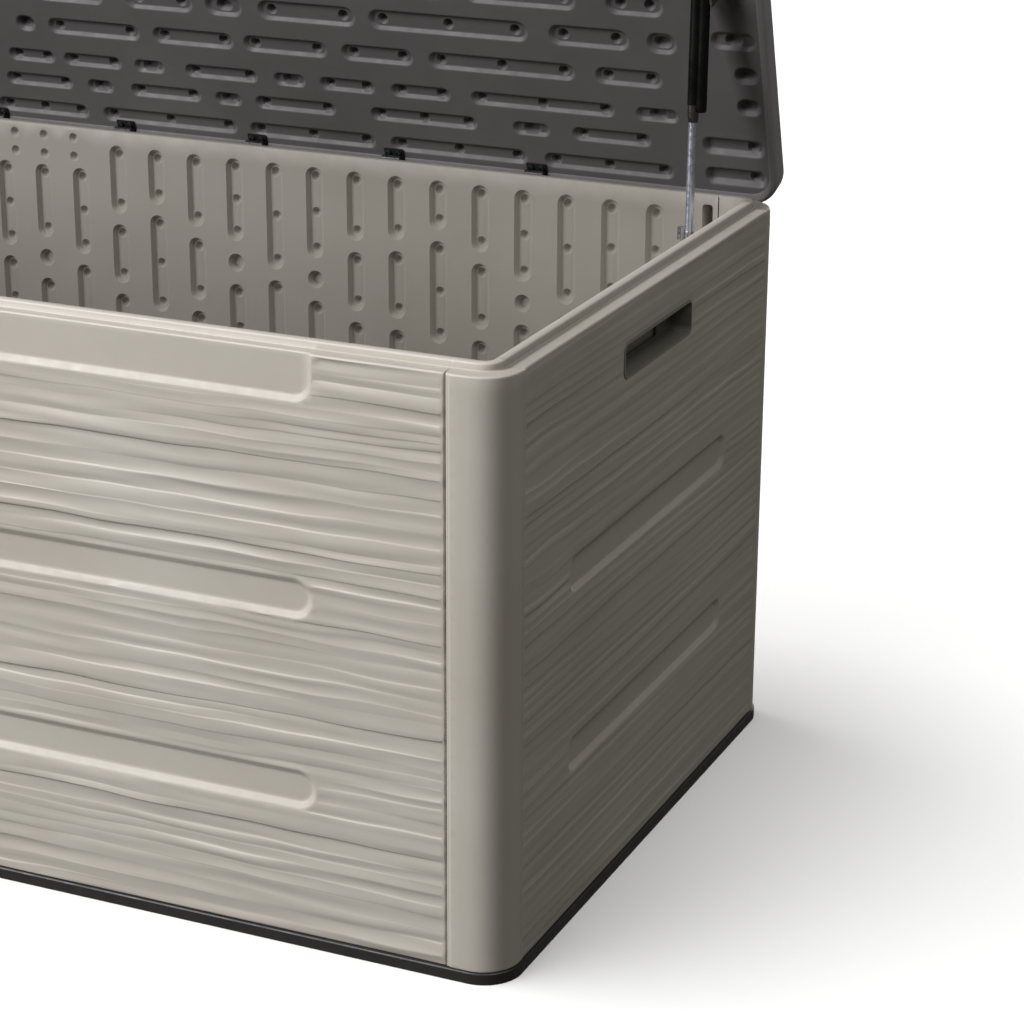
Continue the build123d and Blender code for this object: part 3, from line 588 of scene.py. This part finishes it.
def build_wall(name, place, low, high, grain, outer, inner, material,
               creases=(), strip=-1.0, reach=0.0):
    """A closed wall with outer relief, a ledge, a raised rim and inner recesses.

    creases are upright lines that the outer face needs, strip the width of a plain
    band at both ends, and reach how far the ledge and rim run on past the ends.
    """
    body = Body(place)
    columns = [x for f in outer if f.open_top for t in BEVEL_LINES
               for x in (f.u - f.half + t * f.slope, f.u + f.half - t * f.slope)]
    round_off = [d * EDGE_RADIUS for d in EDGE_STEPS]
    ends = [low + d for d in round_off] + [high - d for d in round_off] + list(creases)
    us = spaced(low, high, WALL_STEP, columns + ends)
    us_top = np.r_[low - reach, us[1:-1], high + reach]
    top = WALL_HEIGHT - TOP_DROP
    vs = spaced(0, top, WALL_ROW_STEP, round_off)[1:-1]
    rim = RIM_TOP - RIM_EDGE

    def relief(u, v):
        inward = np.minimum(u - low, high - u)
        drop = np.maximum(edge_drop(inward, EDGE_RADIUS), edge_drop(v, EDGE_RADIUS))
        return grain(u, v) * smooth((inward - strip) / STRIP_FADE) - drop

    wood = grain if isinstance(grain, WoodGrain) else None
    rows = grain.rows(top) if wood else np.arange(POST_ROW_START, top, POST_ROW_STEP)
    u, y = np.meshgrid(np.arange(low + GRAIN_START, high - GRAIN_END, GRAIN_STEP), rows)
    v = grain.place(u, y) if wood else y
    loose = np.c_[u.ravel(), v.ravel()]
    loose = loose[(loose[:, 1] > GRAIN_FOOT) & (loose[:, 1] < top - GRAIN_HEAD)]
    sides = [np.array(((x, 0.0), (x, top))) for x in ends]
    foot = [np.array(((low, d), (high, d))) for d in round_off]
    lines = [resample(s, WALL_ROW_STEP) for s in sides + foot]
    edge, w = body.sheet(outline(us, vs, top), loose, outer, relief, lines, wood)
    n, m = len(us), len(vs)

    vi = spaced(0, rim, INNER_ROW_STEP)[1:-1]
    gu, gv = np.meshgrid(np.arange(low + INNER_START, high - INNER_END, INNER_STEP),
                         np.arange(INNER_START, rim - INNER_END, INNER_STEP))
    back, _ = body.sheet(outline(us, vi, rim), np.c_[gu.ravel(), gv.ravel()], inner, plain_face,
                         side=1, level=-WALL)
    k = len(vi)

    outer_top, outer_w = edge[n + m:2 * n + m][::-1], w[n + m:2 * n + m][::-1]
    inner_top = back[n + k:2 * n + k][::-1]
    profile = [(TOP_DROP * (1 - cos(a)), 0.0, top + TOP_DROP * sin(a))
               for a in (radians(turn) for turn in TOP_TURNS)]
    profile += [(0.0, 1 - LEDGE_FILLET / LEDGE, WALL_HEIGHT), (0.0, 1.0, WALL_HEIGHT + LEDGE_RISE)]
    rows_made, loops = [outer_top], []
    for rounding, share, height in profile:
        w_row = outer_w - rounding
        w_row = w_row + share * (-LEDGE - w_row)
        rows_made.append(body.add(us_top if share else us, np.full(n, height), w_row))
        loops.append((w_row, height))
    for step, height in RIM_PROFILE:
        w_row = np.full(n, -LEDGE - step)
        rows_made.append(body.add(us_top, np.full(n, WALL_HEIGHT + height), w_row))
        loops.append((w_row, WALL_HEIGHT + height))
    rows_made.append(inner_top)
    for a, b in zip(rows_made, rows_made[1:]):
        body.strip(a, b)
    body.strip(edge[:n], back[:n])

    for end in (0, -1):
        if end:
            outer_ids, outer_ws, inner_ids = edge[n:n + m], w[n:n + m], back[n:n + k]
        else:
            outer_ids, outer_ws = edge[2 * n + m:][::-1], w[2 * n + m:][::-1]
            inner_ids = back[2 * n + k:][::-1]
        ids = [edge[:n][end], *outer_ids, outer_top[end], *(r[end] for r in rows_made[1:-1]),
               inner_top[end], *inner_ids[::-1], back[:n][end]]
        plan = [(w[:n][end], 0.0), *zip(outer_ws, vs), (outer_w[end], top),
                *((r[end], h) for r, h in loops), (-WALL, rim),
                *((-WALL, x) for x in vi[::-1]), (-WALL, 0.0)]
        body.cap(np.array(ids), np.array(plan))
    return body.piece(name, material)


# ---- inside patterns ------------------------------------------------------------
# Lengths of the pills down each column of the back wall, in millimetres, from the
# column nearest u = 0.083 on. A short one is a single dimple.
BACK_COLUMNS = (
    (84, 74, 96, 120), (67, 121, 84, 92), (89, 78, 96, 104), (101, 26, 110, 90), (130, 92, 26, 126),
    (110, 25, 92, 108), (83, 72, 104, 92), (76, 82, 96, 112), (58, 124, 84, 100), (79, 79, 110, 96),
    (108, 24, 120, 88), (129, 96, 26, 120), (116, 104, 90, 98), (109, 92, 26, 124),
)


def column(u, top, lengths):
    """Upright pills hung below each other until the foot of the pattern."""
    found, v = [], top
    for length in lengths:
        length = min(length, v - PILL_FOOT)
        if length < SHORTEST_RECESS:
            break
        if length < SHORTEST_PILL:
            found.append(dimple(u, v - length / 2, length / LONE_DIMPLE_SHARE, LONE_DIMPLE_DEPTH))
        else:
            found += dimpled_pill(u, v - length / 2, length, 2 if length < LONG_PILL else 3)
        v -= length + PILL_GAP
    return found


def pill_columns(seed, places, top, given=(), low=()):
    """Columns of pills over an inner skin: the given ones first, then random ones.

    The columns whose numbers are in low start below the group of round dimples.
    """
    rng = np.random.default_rng(seed)
    found = []
    for number, u in enumerate(places):
        drawn = rng.choice(RANDOM_PILLS, RANDOM_COUNT)
        known = [x / 1000 for x in given[number]] if number < len(given) else []
        found += column(u, GROUP_FOOT if number in low else top, known + list(drawn))
    return found


# ---- lid ------------------------------------------------------------------------
# Pills under the lid as rows of (distance from the hinge, width, (start, end) ...)
# in millimetres, from the right-hand end of the lid leftwards past its middle.
LID_ROWS = (
    (16, 19, ((469, 628), (272, 447), (84, 252), (-121, 66), (-272, -142))),
    (54, 17, ((508, 604), (434, 480), (252, 389), (99, 206), (44, 80), (-73, 24), (-134, -98), (-251, -156))),
    (88, 17, ((589, 640), (386, 563), (284, 360), (191, 263), (130, 172), (10, 108), (-60, -19), (-160, -79),
              (-239, -173))),
    (132, 21, ((545, 625), (339, 520), (227, 319), (98, 208), (-25, 84), (-171, -44), (-217, -190))),
    (178, 25, ((611, 646), (494, 590), (270, 468), (126, 252), (56, 104), (-53, 38))),
    (222, 25, ((567, 634), (396, 531), (280, 372), (148, 254), (64, 122), (-60, 40))),
)
LID_ROWS_END = 0.25
LEFT_END, LEFT_LIMIT, PILL_LIMIT = -0.62, -0.60, -0.66
LID_START_RANGE, LID_GAP_RANGE, LEFT_GAP_RANGE = (0, 0.05), (0.022, 0.040), (0.022, 0.032)
LID_LENGTHS = (0.036, 0.095, 0.110, 0.130, 0.180)
LEFT_LENGTHS = (0.036, 0.095, 0.110, 0.150)


def lid_place(u, s, h):
    """Turns lid coordinates (u to the right, s from the hinge, h out of the top)."""
    return u + 0 * h, HINGE.y - s * cos(LID_ANGLE) + h * sin(LID_ANGLE), \
        HINGE.z + s * sin(LID_ANGLE) + h * cos(LID_ANGLE)


def lid_pill(start, end, s, width):
    """A lying pill with a dimple near each end, and more between when it is long."""
    length, radius = end - start, width / 2
    u = (start + end) / 2
    found = [Recess(u, s, length / 2, radius, radius, LID_PILL_DEPTH, LID_PILL_BEVEL)]
    if length < LID_SHORT_PILL:
        return found + [Recess(u, s, **LID_OVAL)]
    reach = length / 2 - radius - LID_DIMPLE_INSET
    places = np.linspace(-reach, reach, 2 if length < LID_LONG_PILL else 3)
    return found + [Recess(u + t, s, **LID_DIMPLE) for t in places]


def lid_rows():
    """Rows of pills as (distance from the hinge, width, ends): the seen ones, then random ones."""
    rng = np.random.default_rng(8)
    rows = [(s / 1000, w / 1000, [(a / 1000, b / 1000) for a, b in ends]) for s, w, ends in LID_ROWS]
    s = LID_ROW_START
    while s < LID_ROW_END:
        u, ends = LID_ROW_REACH - rng.uniform(*LID_START_RANGE), []
        while u > LEFT_END:
            length = rng.choice(LID_LENGTHS)
            ends.append((u - length, u))
            u -= length + rng.uniform(*LID_GAP_RANGE)
        rows.append((s, LID_ROW_WIDTH, ends))
        s += LID_ROW_PITCH
    for s, _, ends in rows:
        last = min(a for a, _ in ends)
        while s < LID_ROWS_END and last > LEFT_LIMIT:
            length = rng.choice(LEFT_LENGTHS)
            gap = rng.uniform(*LEFT_GAP_RANGE)
            ends.append((last - gap - length, last - gap))
            last -= gap + length
    return rows


def lid_features():
    """Recesses of the underside: the field, hinge notches, corner pockets and pills."""
    middle, rise = (SKIRT_END + LID_FRONT - SKIRT_WIDTH) / 2, (LID_FRONT - SKIRT_WIDTH - SKIRT_END) / 2
    found = [Recess(0, middle, LID_HALF - SKIRT_WIDTH, rise, LID_CORNER - SKIRT_WIDTH,
                    LID_FIELD_DEPTH, SKIRT_BEVEL, shared=True)]
    found += [Recess(u, NOTCH_PLACE, **NOTCH, shared=True) for u in HINGE_STATIONS]
    for s, width, ends in lid_rows():
        for a, b in ends:
            if a > PILL_LIMIT:
                found += lid_pill(a, b, s, width)
    for side in (-1, 1):
        for s, reach in EDGE_PILLS:
            ends = side * (EDGE_PILL_PLACE - 2 * reach), side * EDGE_PILL_PLACE
            found += lid_pill(min(ends), max(ends), s, EDGE_PILL_WIDTH)
        for s in POCKET_ROWS:
            found.append(Recess(side * POCKET_PLACE, s, **POCKET))
            found.append(Recess(side * POCKET_DIMPLE_PLACE, s, **POCKET_DIMPLE))
        s, u = EDGE_ROW_START, side * EDGE_ROW_PLACE
        while s < LID_ROW_END:
            found += lid_pill(u - EDGE_ROW_HALF, u + EDGE_ROW_HALF, s, EDGE_ROW_WIDTH)
            s += LID_ROW_PITCH
    return found


def lid_reach(u, s):
    """How far out a place lies: LID_CORNER on the lid's edge, less towards its middle."""
    du = np.abs(u) - (LID_HALF - LID_CORNER)
    ds = np.abs(s - LID_MIDDLE) - (LID_RISE - LID_CORNER)
    return np.hypot(np.maximum(du, 0), np.maximum(ds, 0)) + np.minimum(np.maximum(du, ds), 0)


def lid_outline(inset):
    """Rounded rectangle of the lid, inset all round, anticlockwise."""
    loop = []
    for a, (su, sv) in quarter_arcs(OUTLINE_ARC):
        centre = np.array((su * (LID_HALF - LID_CORNER), LID_MIDDLE + sv * (LID_RISE - LID_CORNER)))
        loop.append(centre + (LID_CORNER - inset) * np.hstack((np.cos(a), np.sin(a))))
    loop = np.vstack(loop)
    out = []
    for a, b in zip(loop, np.roll(loop, -1, axis=0)):
        n = int(round(LID_HALF * 2 / OUTLINE_STEP)) if abs(b - a).max() > OUTLINE_CUT else 1
        out.append(a + (b - a) * (np.arange(n) / n)[:, None])
    return np.vstack(out)


def build_lid(material):
    body = Body(lid_place)
    gu, gs = np.meshgrid(np.arange(*LID_SPAN, LID_STEP), np.arange(0.01, LID_FRONT - LID_STEP, LID_STEP))
    under, _ = body.sheet(lid_outline(SKIRT_RADIUS), np.c_[gu.ravel(), gs.ravel()], lid_features(),
                          plain_face, side=1, level=SKIRT_BOTTOM)
    grain = WoodGrain(77, LID_HALF, LID_FRONT, BOARDS_LID, *GRAIN_LID)
    u, y = np.meshgrid(np.arange(*ROOF_SPAN, ROOF_STEP), grain.rows(LID_FRONT))
    loose = np.c_[u.ravel(), grain.place(u, y).ravel()]
    edge = LID_CORNER - LID_EDGE_RADIUS
    loose = loose[lid_reach(loose[:, 0], loose[:, 1]) < edge - ROOF_MARGIN]

    def relief(u, s):
        return grain(u, s) * smooth((edge - lid_reach(u, s)) / LID_BORDER)

    top, _ = body.sheet(lid_outline(LID_EDGE_RADIUS), loose, [], relief, grain=grain, level=LID_TOP)
    rows = [under]
    wall = [(SKIRT_RADIUS * (1 - sin(t)), SKIRT_BOTTOM + SKIRT_RADIUS * (1 - cos(t)))
            for t in np.linspace(0, pi / 2, 7)[1:]]
    wall += [(0.0, h) for h in SKIRT_LEVELS]
    wall += [(LID_EDGE_RADIUS * (1 - cos(t)), LID_TOP - LID_EDGE_RADIUS * (1 - sin(t)))
             for t in np.linspace(0, pi / 2, 9)[:-1]]
    for inset, height in wall:
        loop = lid_outline(inset)
        rows.append(body.add(loop[:, 0], loop[:, 1], np.full(len(loop), height)))
    rows.append(top)
    for a, b in zip(rows, rows[1:]):
        body.strip(a, b, closed=True)
    return body.piece("lid_moulding", material)


# ---- materials ------------------------------------------------------------------
class Paint:
    """A node material being put together around one principled shader."""

    def __init__(self, name, roughness, metallic=0.0, specular=0.5):
        self.material = bpy.data.materials.new(name)
        self.material.use_nodes = True
        self.tree = self.material.node_tree
        self.shader = self.tree.nodes["Principled BSDF"]
        self.shader.inputs["Roughness"].default_value = roughness
        self.shader.inputs["Metallic"].default_value = metallic
        self.shader.inputs["Specular IOR Level"].default_value = specular
        self.where = self.node("ShaderNodeTexCoord").outputs["Object"]
        self.normal = None

    def node(self, kind, **inputs):
        node = self.tree.nodes.new(kind)
        for key, value in inputs.items():
            self.feed(node.inputs[key.replace("_", " ")], value)
        return node

    def feed(self, socket, value):
        if isinstance(value, bpy.types.NodeSocket):
            self.tree.links.new(value, socket)
        else:
            socket.default_value = value

    def noise(self, scale, detail=3.0, stretch=(1, 1, 1)):
        """Noise in metres: scale is cycles per metre, stretch scales each axis."""
        mapping = self.node("ShaderNodeMapping", Vector=self.where, Scale=stretch)
        noise = self.node("ShaderNodeTexNoise", Vector=mapping.outputs[0], Scale=scale, Detail=detail,
                          Roughness=0.55)
        return noise.outputs["Fac"]

    def span(self, value, low, high, start=0.3, end=0.7):
        """Maps a value between start and end onto low to high."""
        node = self.node("ShaderNodeMapRange", Value=value)
        for key, number in (("From Min", start), ("From Max", end), ("To Min", low), ("To Max", high)):
            node.inputs[key].default_value = number
        return node.outputs[0]

    def mix(self, factor, a, b):
        node = self.node("ShaderNodeMix")
        node.data_type = "RGBA"
        self.feed(node.inputs[0], factor)
        for socket, value in ((node.inputs[6], a), (node.inputs[7], b)):
            self.feed(socket, value)
        return node.outputs[2]

    def bump(self, height, distance):
        node = self.node("ShaderNodeBump", Height=height, Distance=distance, Strength=1.0)
        if self.normal:
            self.tree.links.new(self.normal, node.inputs["Normal"])
        self.normal = node.outputs[0]
        self.tree.links.new(self.normal, self.shader.inputs["Normal"])

    def colour(self, value):
        self.feed(self.shader.inputs["Base Color"], value)

    def rough(self, value):
        self.feed(self.shader.inputs["Roughness"], value)

    def edges(self, low, high):
        """A mask that rises on outward edges and corners."""
        return self.span(self.node("ShaderNodeNewGeometry").outputs["Pointiness"], 0.0, 1.0, low, high)


def rgb(r, g, b):
    """Linear colour of an sRGB triple."""
    def linear(c):
        c /= 255
        return c / 12.92 if c < 0.04045 else ((c + 0.055) / 1.055) ** 2.4
    return tuple(linear(c) for c in (r, g, b)) + (1.0,)


def shade(colour, gain):
    """A colour made lighter or darker."""
    return tuple(min(1.0, c * gain) for c in colour[:3]) + (1.0,)


def moulded(name, colours, stretch, rough=(0.42, 0.56), grain=0.00006, pebble=0.00005, specular=0.5):
    """Blow-moulded plastic: faint cloudiness, a fine drawn grain and a pebbled skin."""
    base, dark, light = colours
    paint = Paint(name, 0.5, specular=specular)
    cloud = paint.span(paint.noise(4.5, 4.0), 0.0, 1.0)
    streak = paint.noise(170.0, 4.0, stretch)
    tone = paint.mix(cloud, dark, light)
    tone = paint.mix(paint.span(streak, 0.0, 0.35), tone, base)
    paint.colour(paint.mix(paint.edges(0.515, 0.60), tone, shade(light, 1.25)))
    paint.rough(paint.span(paint.noise(60.0, 3.0), *rough))
    paint.bump(streak, grain)
    paint.bump(paint.noise(620.0, 2.0), pebble)
    return paint.material


def metal(name, colour, rough):
    """Bright metal with fine tool marks and a little tarnish."""
    paint = Paint(name, rough, metallic=1.0)
    tarnish = paint.span(paint.noise(90.0, 4.0), 0.0, 1.0)
    paint.colour(paint.mix(tarnish, colour, shade(colour, 0.82)))
    paint.rough(paint.span(paint.noise(260.0, 4.0), rough * 0.75, rough * 1.35))
    paint.bump(paint.noise(900.0, 2.0), 0.00002)
    return paint.material


def gloss(name, colour, rough):
    """Smooth dark plastic or enamel with faint handling marks."""
    paint = Paint(name, rough, specular=0.22)
    smear = paint.noise(45.0, 4.0)
    paint.colour(paint.mix(paint.span(smear, 0.0, 1.0), colour, shade(colour, 1.5)))
    paint.rough(paint.span(smear, rough * 0.8, rough * 1.3))
    paint.bump(paint.noise(700.0, 2.0), 0.00001)
    return paint.material


def paint_node(name, material):
    """Gives a CAD node's object a material in every slot."""
    obj = bpy.data.objects[name]
    if not obj.material_slots:
        obj.data.materials.append(material)
    for entry in obj.material_slots:
        entry.material = material


# Each plastic's colour, with its darkest and lightest cloud. The cup's is the body plastic darkened as
# painted shade.
BODY = rgb(178, 172, 163), rgb(172, 166, 156), rgb(184, 179, 171)
LID = rgb(79, 76, 77), rgb(73, 70, 71), rgb(85, 82, 83)
BASE = rgb(30, 29, 29), rgb(26, 25, 25), rgb(36, 35, 35)
# The handle cup is the body plastic; this darker colour paints in the shade inside the handle recess.
CUP_IN_SHADE = rgb(112, 108, 101), rgb(104, 100, 93), rgb(120, 116, 109)
body_long = moulded("body_long_runs", BODY, (0.06, 0.4, 1))
body_side = moulded("body_side_runs", BODY, (0.4, 0.06, 1))
body_post = moulded("body_post", BODY, (1, 1, 1), grain=0.00003, pebble=0.0001)
lid_plastic = moulded("lid_charcoal", LID, (0.08, 1, 1), rough=(0.46, 0.60), specular=0.3)
base_plastic = moulded("base_black", BASE, (0.3, 0.3, 1))
# The cup's colour is the body plastic darkened with painted shade.
cup_satin = moulded("cup_satin", CUP_IN_SHADE, (1, 1, 1), rough=(0.28, 0.40))
tube_paint = gloss("tube_black", rgb(8, 8, 8), 0.28)
hinge_paint = gloss("hinge_black", rgb(24, 24, 24), 0.35)
rod_chrome = metal("rod_chrome", rgb(226, 232, 246), 0.34)
fitting_steel = metal("fitting_steel", rgb(206, 206, 206), 0.30)
gland_steel = metal("gland_steel", rgb(112, 111, 110), 0.28)
bracket_steel = metal("bracket_steel", rgb(190, 190, 188), 0.32)
pin_steel = metal("pin_steel", rgb(80, 80, 80), 0.35)
screw_steel = metal("screw_steel", rgb(110, 110, 110), 0.3)


# ---- pieces ---------------------------------------------------------------------
def settle(piece, node, body="box"):
    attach(piece, body)
    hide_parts(node)


def long_slots():
    return [Recess(0, v, LONG_SLOT_HALF, h / 2, h / 2, SLOT_DEPTH, SLOT_BEVEL, clears=True)
            for v, h in LONG_SLOTS]


def finger_grip():
    top = WALL_HEIGHT - TOP_DROP
    return Recess(0, (GRIP_BOTTOM + top) / 2, GRIP_HALF, (top - GRIP_BOTTOM) / 2, GRIP_RADIUS,
                  SLOT_DEPTH, SLOT_BEVEL, clears=True, open_top=True)


def side_recesses(shift):
    slots = [Recess(0, v, SIDE_SLOT_HALF, h / 2, SIDE_SLOT_RADIUS, SLOT_DEPTH, SIDE_SLOT_BEVEL, clears=True)
             for v, h in SIDE_SLOTS]
    return slots + [Recess(shift, HANDLE_HEIGHT, HANDLE_HALF, HANDLE_RISE, HANDLE_RADIUS,
                           HANDLE_RECESS, HANDLE_BEVEL, clears=True)]


def side_columns(seed):
    """Inner pills of a side wall, below the handle cup and the strut's foot."""
    return pill_columns(seed, np.arange(-4, 5) * SIDE_COLUMN_PITCH, PILL_SIDE_TOP)


def back_recesses(spots):
    """Inner pills of the back wall, its group of dimples and the gap at each end."""
    found = pill_columns(22, -spots[:10], PILL_TOP, low=LOW_COLUMNS)
    found += [dimple(u, v) for u in GROUP_COLUMNS for v in GROUP_ROWS]
    found += pill_columns(23, -spots[10:], PILL_TOP, BACK_COLUMNS)
    return found + [Recess(side * GAP_PLACE, (GAP_LOW + GAP_HIGH) / 2, GAP_HALF, (GAP_HIGH - GAP_LOW) / 2,
                           GAP_RADIUS, GAP_DEPTH, GAP_BEVEL) for side in (-1, 1)]


def make_walls():
    spots = COLUMN_SHIFT + COLUMN_PITCH * np.arange(-10, 14)
    pads = [Recess(-u, WALL_HEIGHT - HINGE_PAD_DROP, **HINGE_PAD, clears=True) for u in HINGE_STATIONS]
    plans = (
        ("front", (0, -1), long_slots() + [finger_grip()], pill_columns(21, spots, PILL_TOP)),
        ("back", (0, 1), pads, back_recesses(spots)),
        ("right_side", (1, 0), side_recesses(HANDLE_SHIFT), side_columns(31)),
        ("left_side", (-1, 0), side_recesses(-HANDLE_SHIFT), side_columns(32)),
    )
    for number, (name, outward, outer, inner) in enumerate(plans):
        if outward[0]:
            half, boards, fine, paint, strip = SIDE_HALF, BOARDS_SIDE, GRAIN_SIDE, body_side, SIDE_STRIP
        else:
            half, boards, fine, paint, strip = LONG_HALF, BOARDS_LONG, GRAIN_LONG, body_long, -1.0
        grain = WoodGrain(40 + number, half, WALL_HEIGHT, boards, *fine)
        wall = build_wall(name + "_wall", straight_wall(outward), -half, half, grain, outer, inner, paint,
                          strip=strip)
        settle(wall, name + "_panel")


def post_face(u, v):
    """A sunk strip beside the long wall's seam, then a step out to the round nose."""
    return -STRIP_DEPTH * (1 - smooth((u - STRIP_START) / (STRIP_END - STRIP_START))) + 0 * v


def make_posts():
    for row, end in (("front", -1), ("rear", 1)):
        for hand, side in (("left", -1), ("right", 1)):
            place, length = corner_wall(side, end)
            name = f"{row}_{hand}_post"
            post = build_wall(name + "_moulding", place, 0, length, post_face, [], [], body_post,
                              creases=np.linspace(STRIP_START, STRIP_END, 5), reach=RIM_RUN_ON)
            settle(post, name)


make_walls()
make_posts()
settle(build_lid(lid_plastic), "lid_shell", "lid")
paint_node("base_tray", base_plastic)
for hand in ("left", "right"):
    paint_node(hand + "_handle_cup", cup_satin)
    paint_node(hand + "_strut_tube", tube_paint)
    paint_node(hand + "_strut_rod", rod_chrome)
    paint_node(hand + "_strut_gland", gland_steel)
    for part in ("foot_eye", "head_eye", "foot_stud", "head_stud"):
        paint_node(f"{hand}_strut_{part}", fitting_steel)
    for part in ("foot_bracket", "head_bracket"):
        paint_node(f"{hand}_strut_{part}", bracket_steel)
for number in range(1, HINGE_COUNT + 1):
    paint_node(f"hinge_{number}_box_leaf", hinge_paint)
    paint_node(f"hinge_{number}_lid_leaf", hinge_paint)
    paint_node(f"hinge_{number}_pin", pin_steel)
for name in ("hinge_box_screws", "hinge_lid_screws", "strut_box_screws", "strut_lid_screws"):
    paint_node(name, screw_steel)


# ---- floor, light and camera ----------------------------------------------------
FLOOR_REACH = 60.0
LIGHT_TARGET = (0, 0, 0.5)
CAMERA_PLACE = (1.7478, -2.5857, 1.3638)
CAMERA_YAW, CAMERA_PITCH, CAMERA_ROLL = 23.99, 19.82, 0.29
CAMERA_LENS, CAMERA_SENSOR = 100.51, 36.0
WORLD_COLOUR, WORLD_STRENGTH = (1.0, 0.97, 0.87, 1), 0.10
INSIDE_BACK = ["back_wall", "rear_left_post_moulding", "rear_right_post_moulding"]


def make_floor():
    data = bpy.data.meshes.new("floor")
    r = FLOOR_REACH
    data.from_pydata([(-r, -r, 0), (r, -r, 0), (r, r, 0), (-r, r, 0)], [], [(0, 1, 2, 3)])
    paint = Paint("floor_white", 0.9, specular=0.1)
    paint.colour((0.92, 0.92, 0.92, 1.0))
    data.materials.append(paint.material)
    floor = bpy.data.objects.new("floor", data)
    floor.visible_diffuse = False
    floor.visible_glossy = False
    bpy.context.scene.collection.objects.link(floor)


def add_light(data, azimuth, elevation):
    """A light that shines down from a compass angle and a height, with its direction."""
    light = bpy.data.objects.new(data.name, data)
    a, e = radians(azimuth), radians(elevation)
    towards = Vector((sin(a) * cos(e), -cos(a) * cos(e), sin(e)))
    light.rotation_euler = towards.to_track_quat("Z", "Y").to_euler()
    bpy.context.scene.collection.objects.link(light)
    return light, towards


def add_area(name, azimuth, elevation, distance, size, irradiance):
    """A square area light; irradiance is what faces it at the target."""
    data = bpy.data.lights.new(name, "AREA")
    data.size = size
    data.energy = irradiance * (pi * distance) ** 2
    light, towards = add_light(data, azimuth, elevation)
    light.location = Vector(LIGHT_TARGET) + distance * towards
    return light


def add_sun(name, azimuth, elevation, spread, irradiance):
    """An even wash with soft shadows; irradiance is what a level surface gets."""
    data = bpy.data.lights.new(name, "SUN")
    data.angle = radians(spread)
    data.energy = pi * irradiance / sin(radians(elevation))
    return add_light(data, azimuth, elevation)[0]


def link_light(light, names, state):
    """Restricts a light to the named objects (INCLUDE), or keeps it off them (EXCLUDE)."""
    group = bpy.data.collections.new(light.name + "_receivers")
    for name in names:
        group.objects.link(bpy.data.objects[name])
    for entry in group.collection_objects:
        entry.light_linking.link_state = state
    light.light_linking.receiver_collection = group


def make_camera():
    yaw, pitch, roll = radians(CAMERA_YAW), radians(CAMERA_PITCH), radians(CAMERA_ROLL)
    forward = Vector((-sin(yaw) * cos(pitch), cos(yaw) * cos(pitch), -sin(pitch)))
    right = Vector((cos(yaw), sin(yaw), 0))
    up = right.cross(forward)
    right, up = cos(roll) * right + sin(roll) * up, cos(roll) * up - sin(roll) * right
    data = bpy.data.cameras.new("camera")
    data.lens, data.sensor_width = CAMERA_LENS, CAMERA_SENSOR
    data.clip_end = 100
    camera = bpy.data.objects.new("camera", data)
    turn = Matrix((right, up, -forward)).transposed().to_4x4()
    camera.matrix_world = Matrix.Translation(CAMERA_PLACE) @ turn
    bpy.context.scene.collection.objects.link(camera)
    bpy.context.scene.camera = camera


def make_world():
    world = bpy.data.worlds.new("studio")
    world.use_nodes = True
    background = world.node_tree.nodes["Background"]
    background.inputs["Color"].default_value = WORLD_COLOUR
    background.inputs["Strength"].default_value = WORLD_STRENGTH
    bpy.context.scene.world = world


make_floor()
make_camera()
make_world()
link_light(add_area("key_low", -40, 22, 7.0, 4.0, 0.72), ["floor"], "EXCLUDE")
link_light(add_area("key_high", -35, 42, 7.0, 2.0, 0.80), ["floor"] + INSIDE_BACK, "EXCLUDE")
link_light(add_area("side_fill", 72, 52, 6.0, 2.5, 0.20), ["floor"], "EXCLUDE")
link_light(add_area("overhead", 0, 88, 6.0, 5.0, 0.08), ["floor"], "EXCLUDE")
link_light(add_area("floor_overhead", 0, 88, 6.0, 5.0, 0.20), ["floor"], "INCLUDE")
link_light(add_area("back_fill", 186, 10, 7.0, 4.0, 0.42), ["floor"], "EXCLUDE")
link_light(add_area("lid_edge_fill", 82, 20, 6.0, 2.5, 0.45), ["lid_moulding"], "INCLUDE")
link_light(add_sun("floor_left", -62, 60, 55, 0.74), ["floor"], "INCLUDE")
link_light(add_sun("floor_right", 70, 62, 40, 0.33), ["floor"], "INCLUDE")
bpy.context.scene.view_settings.view_transform = "Standard"
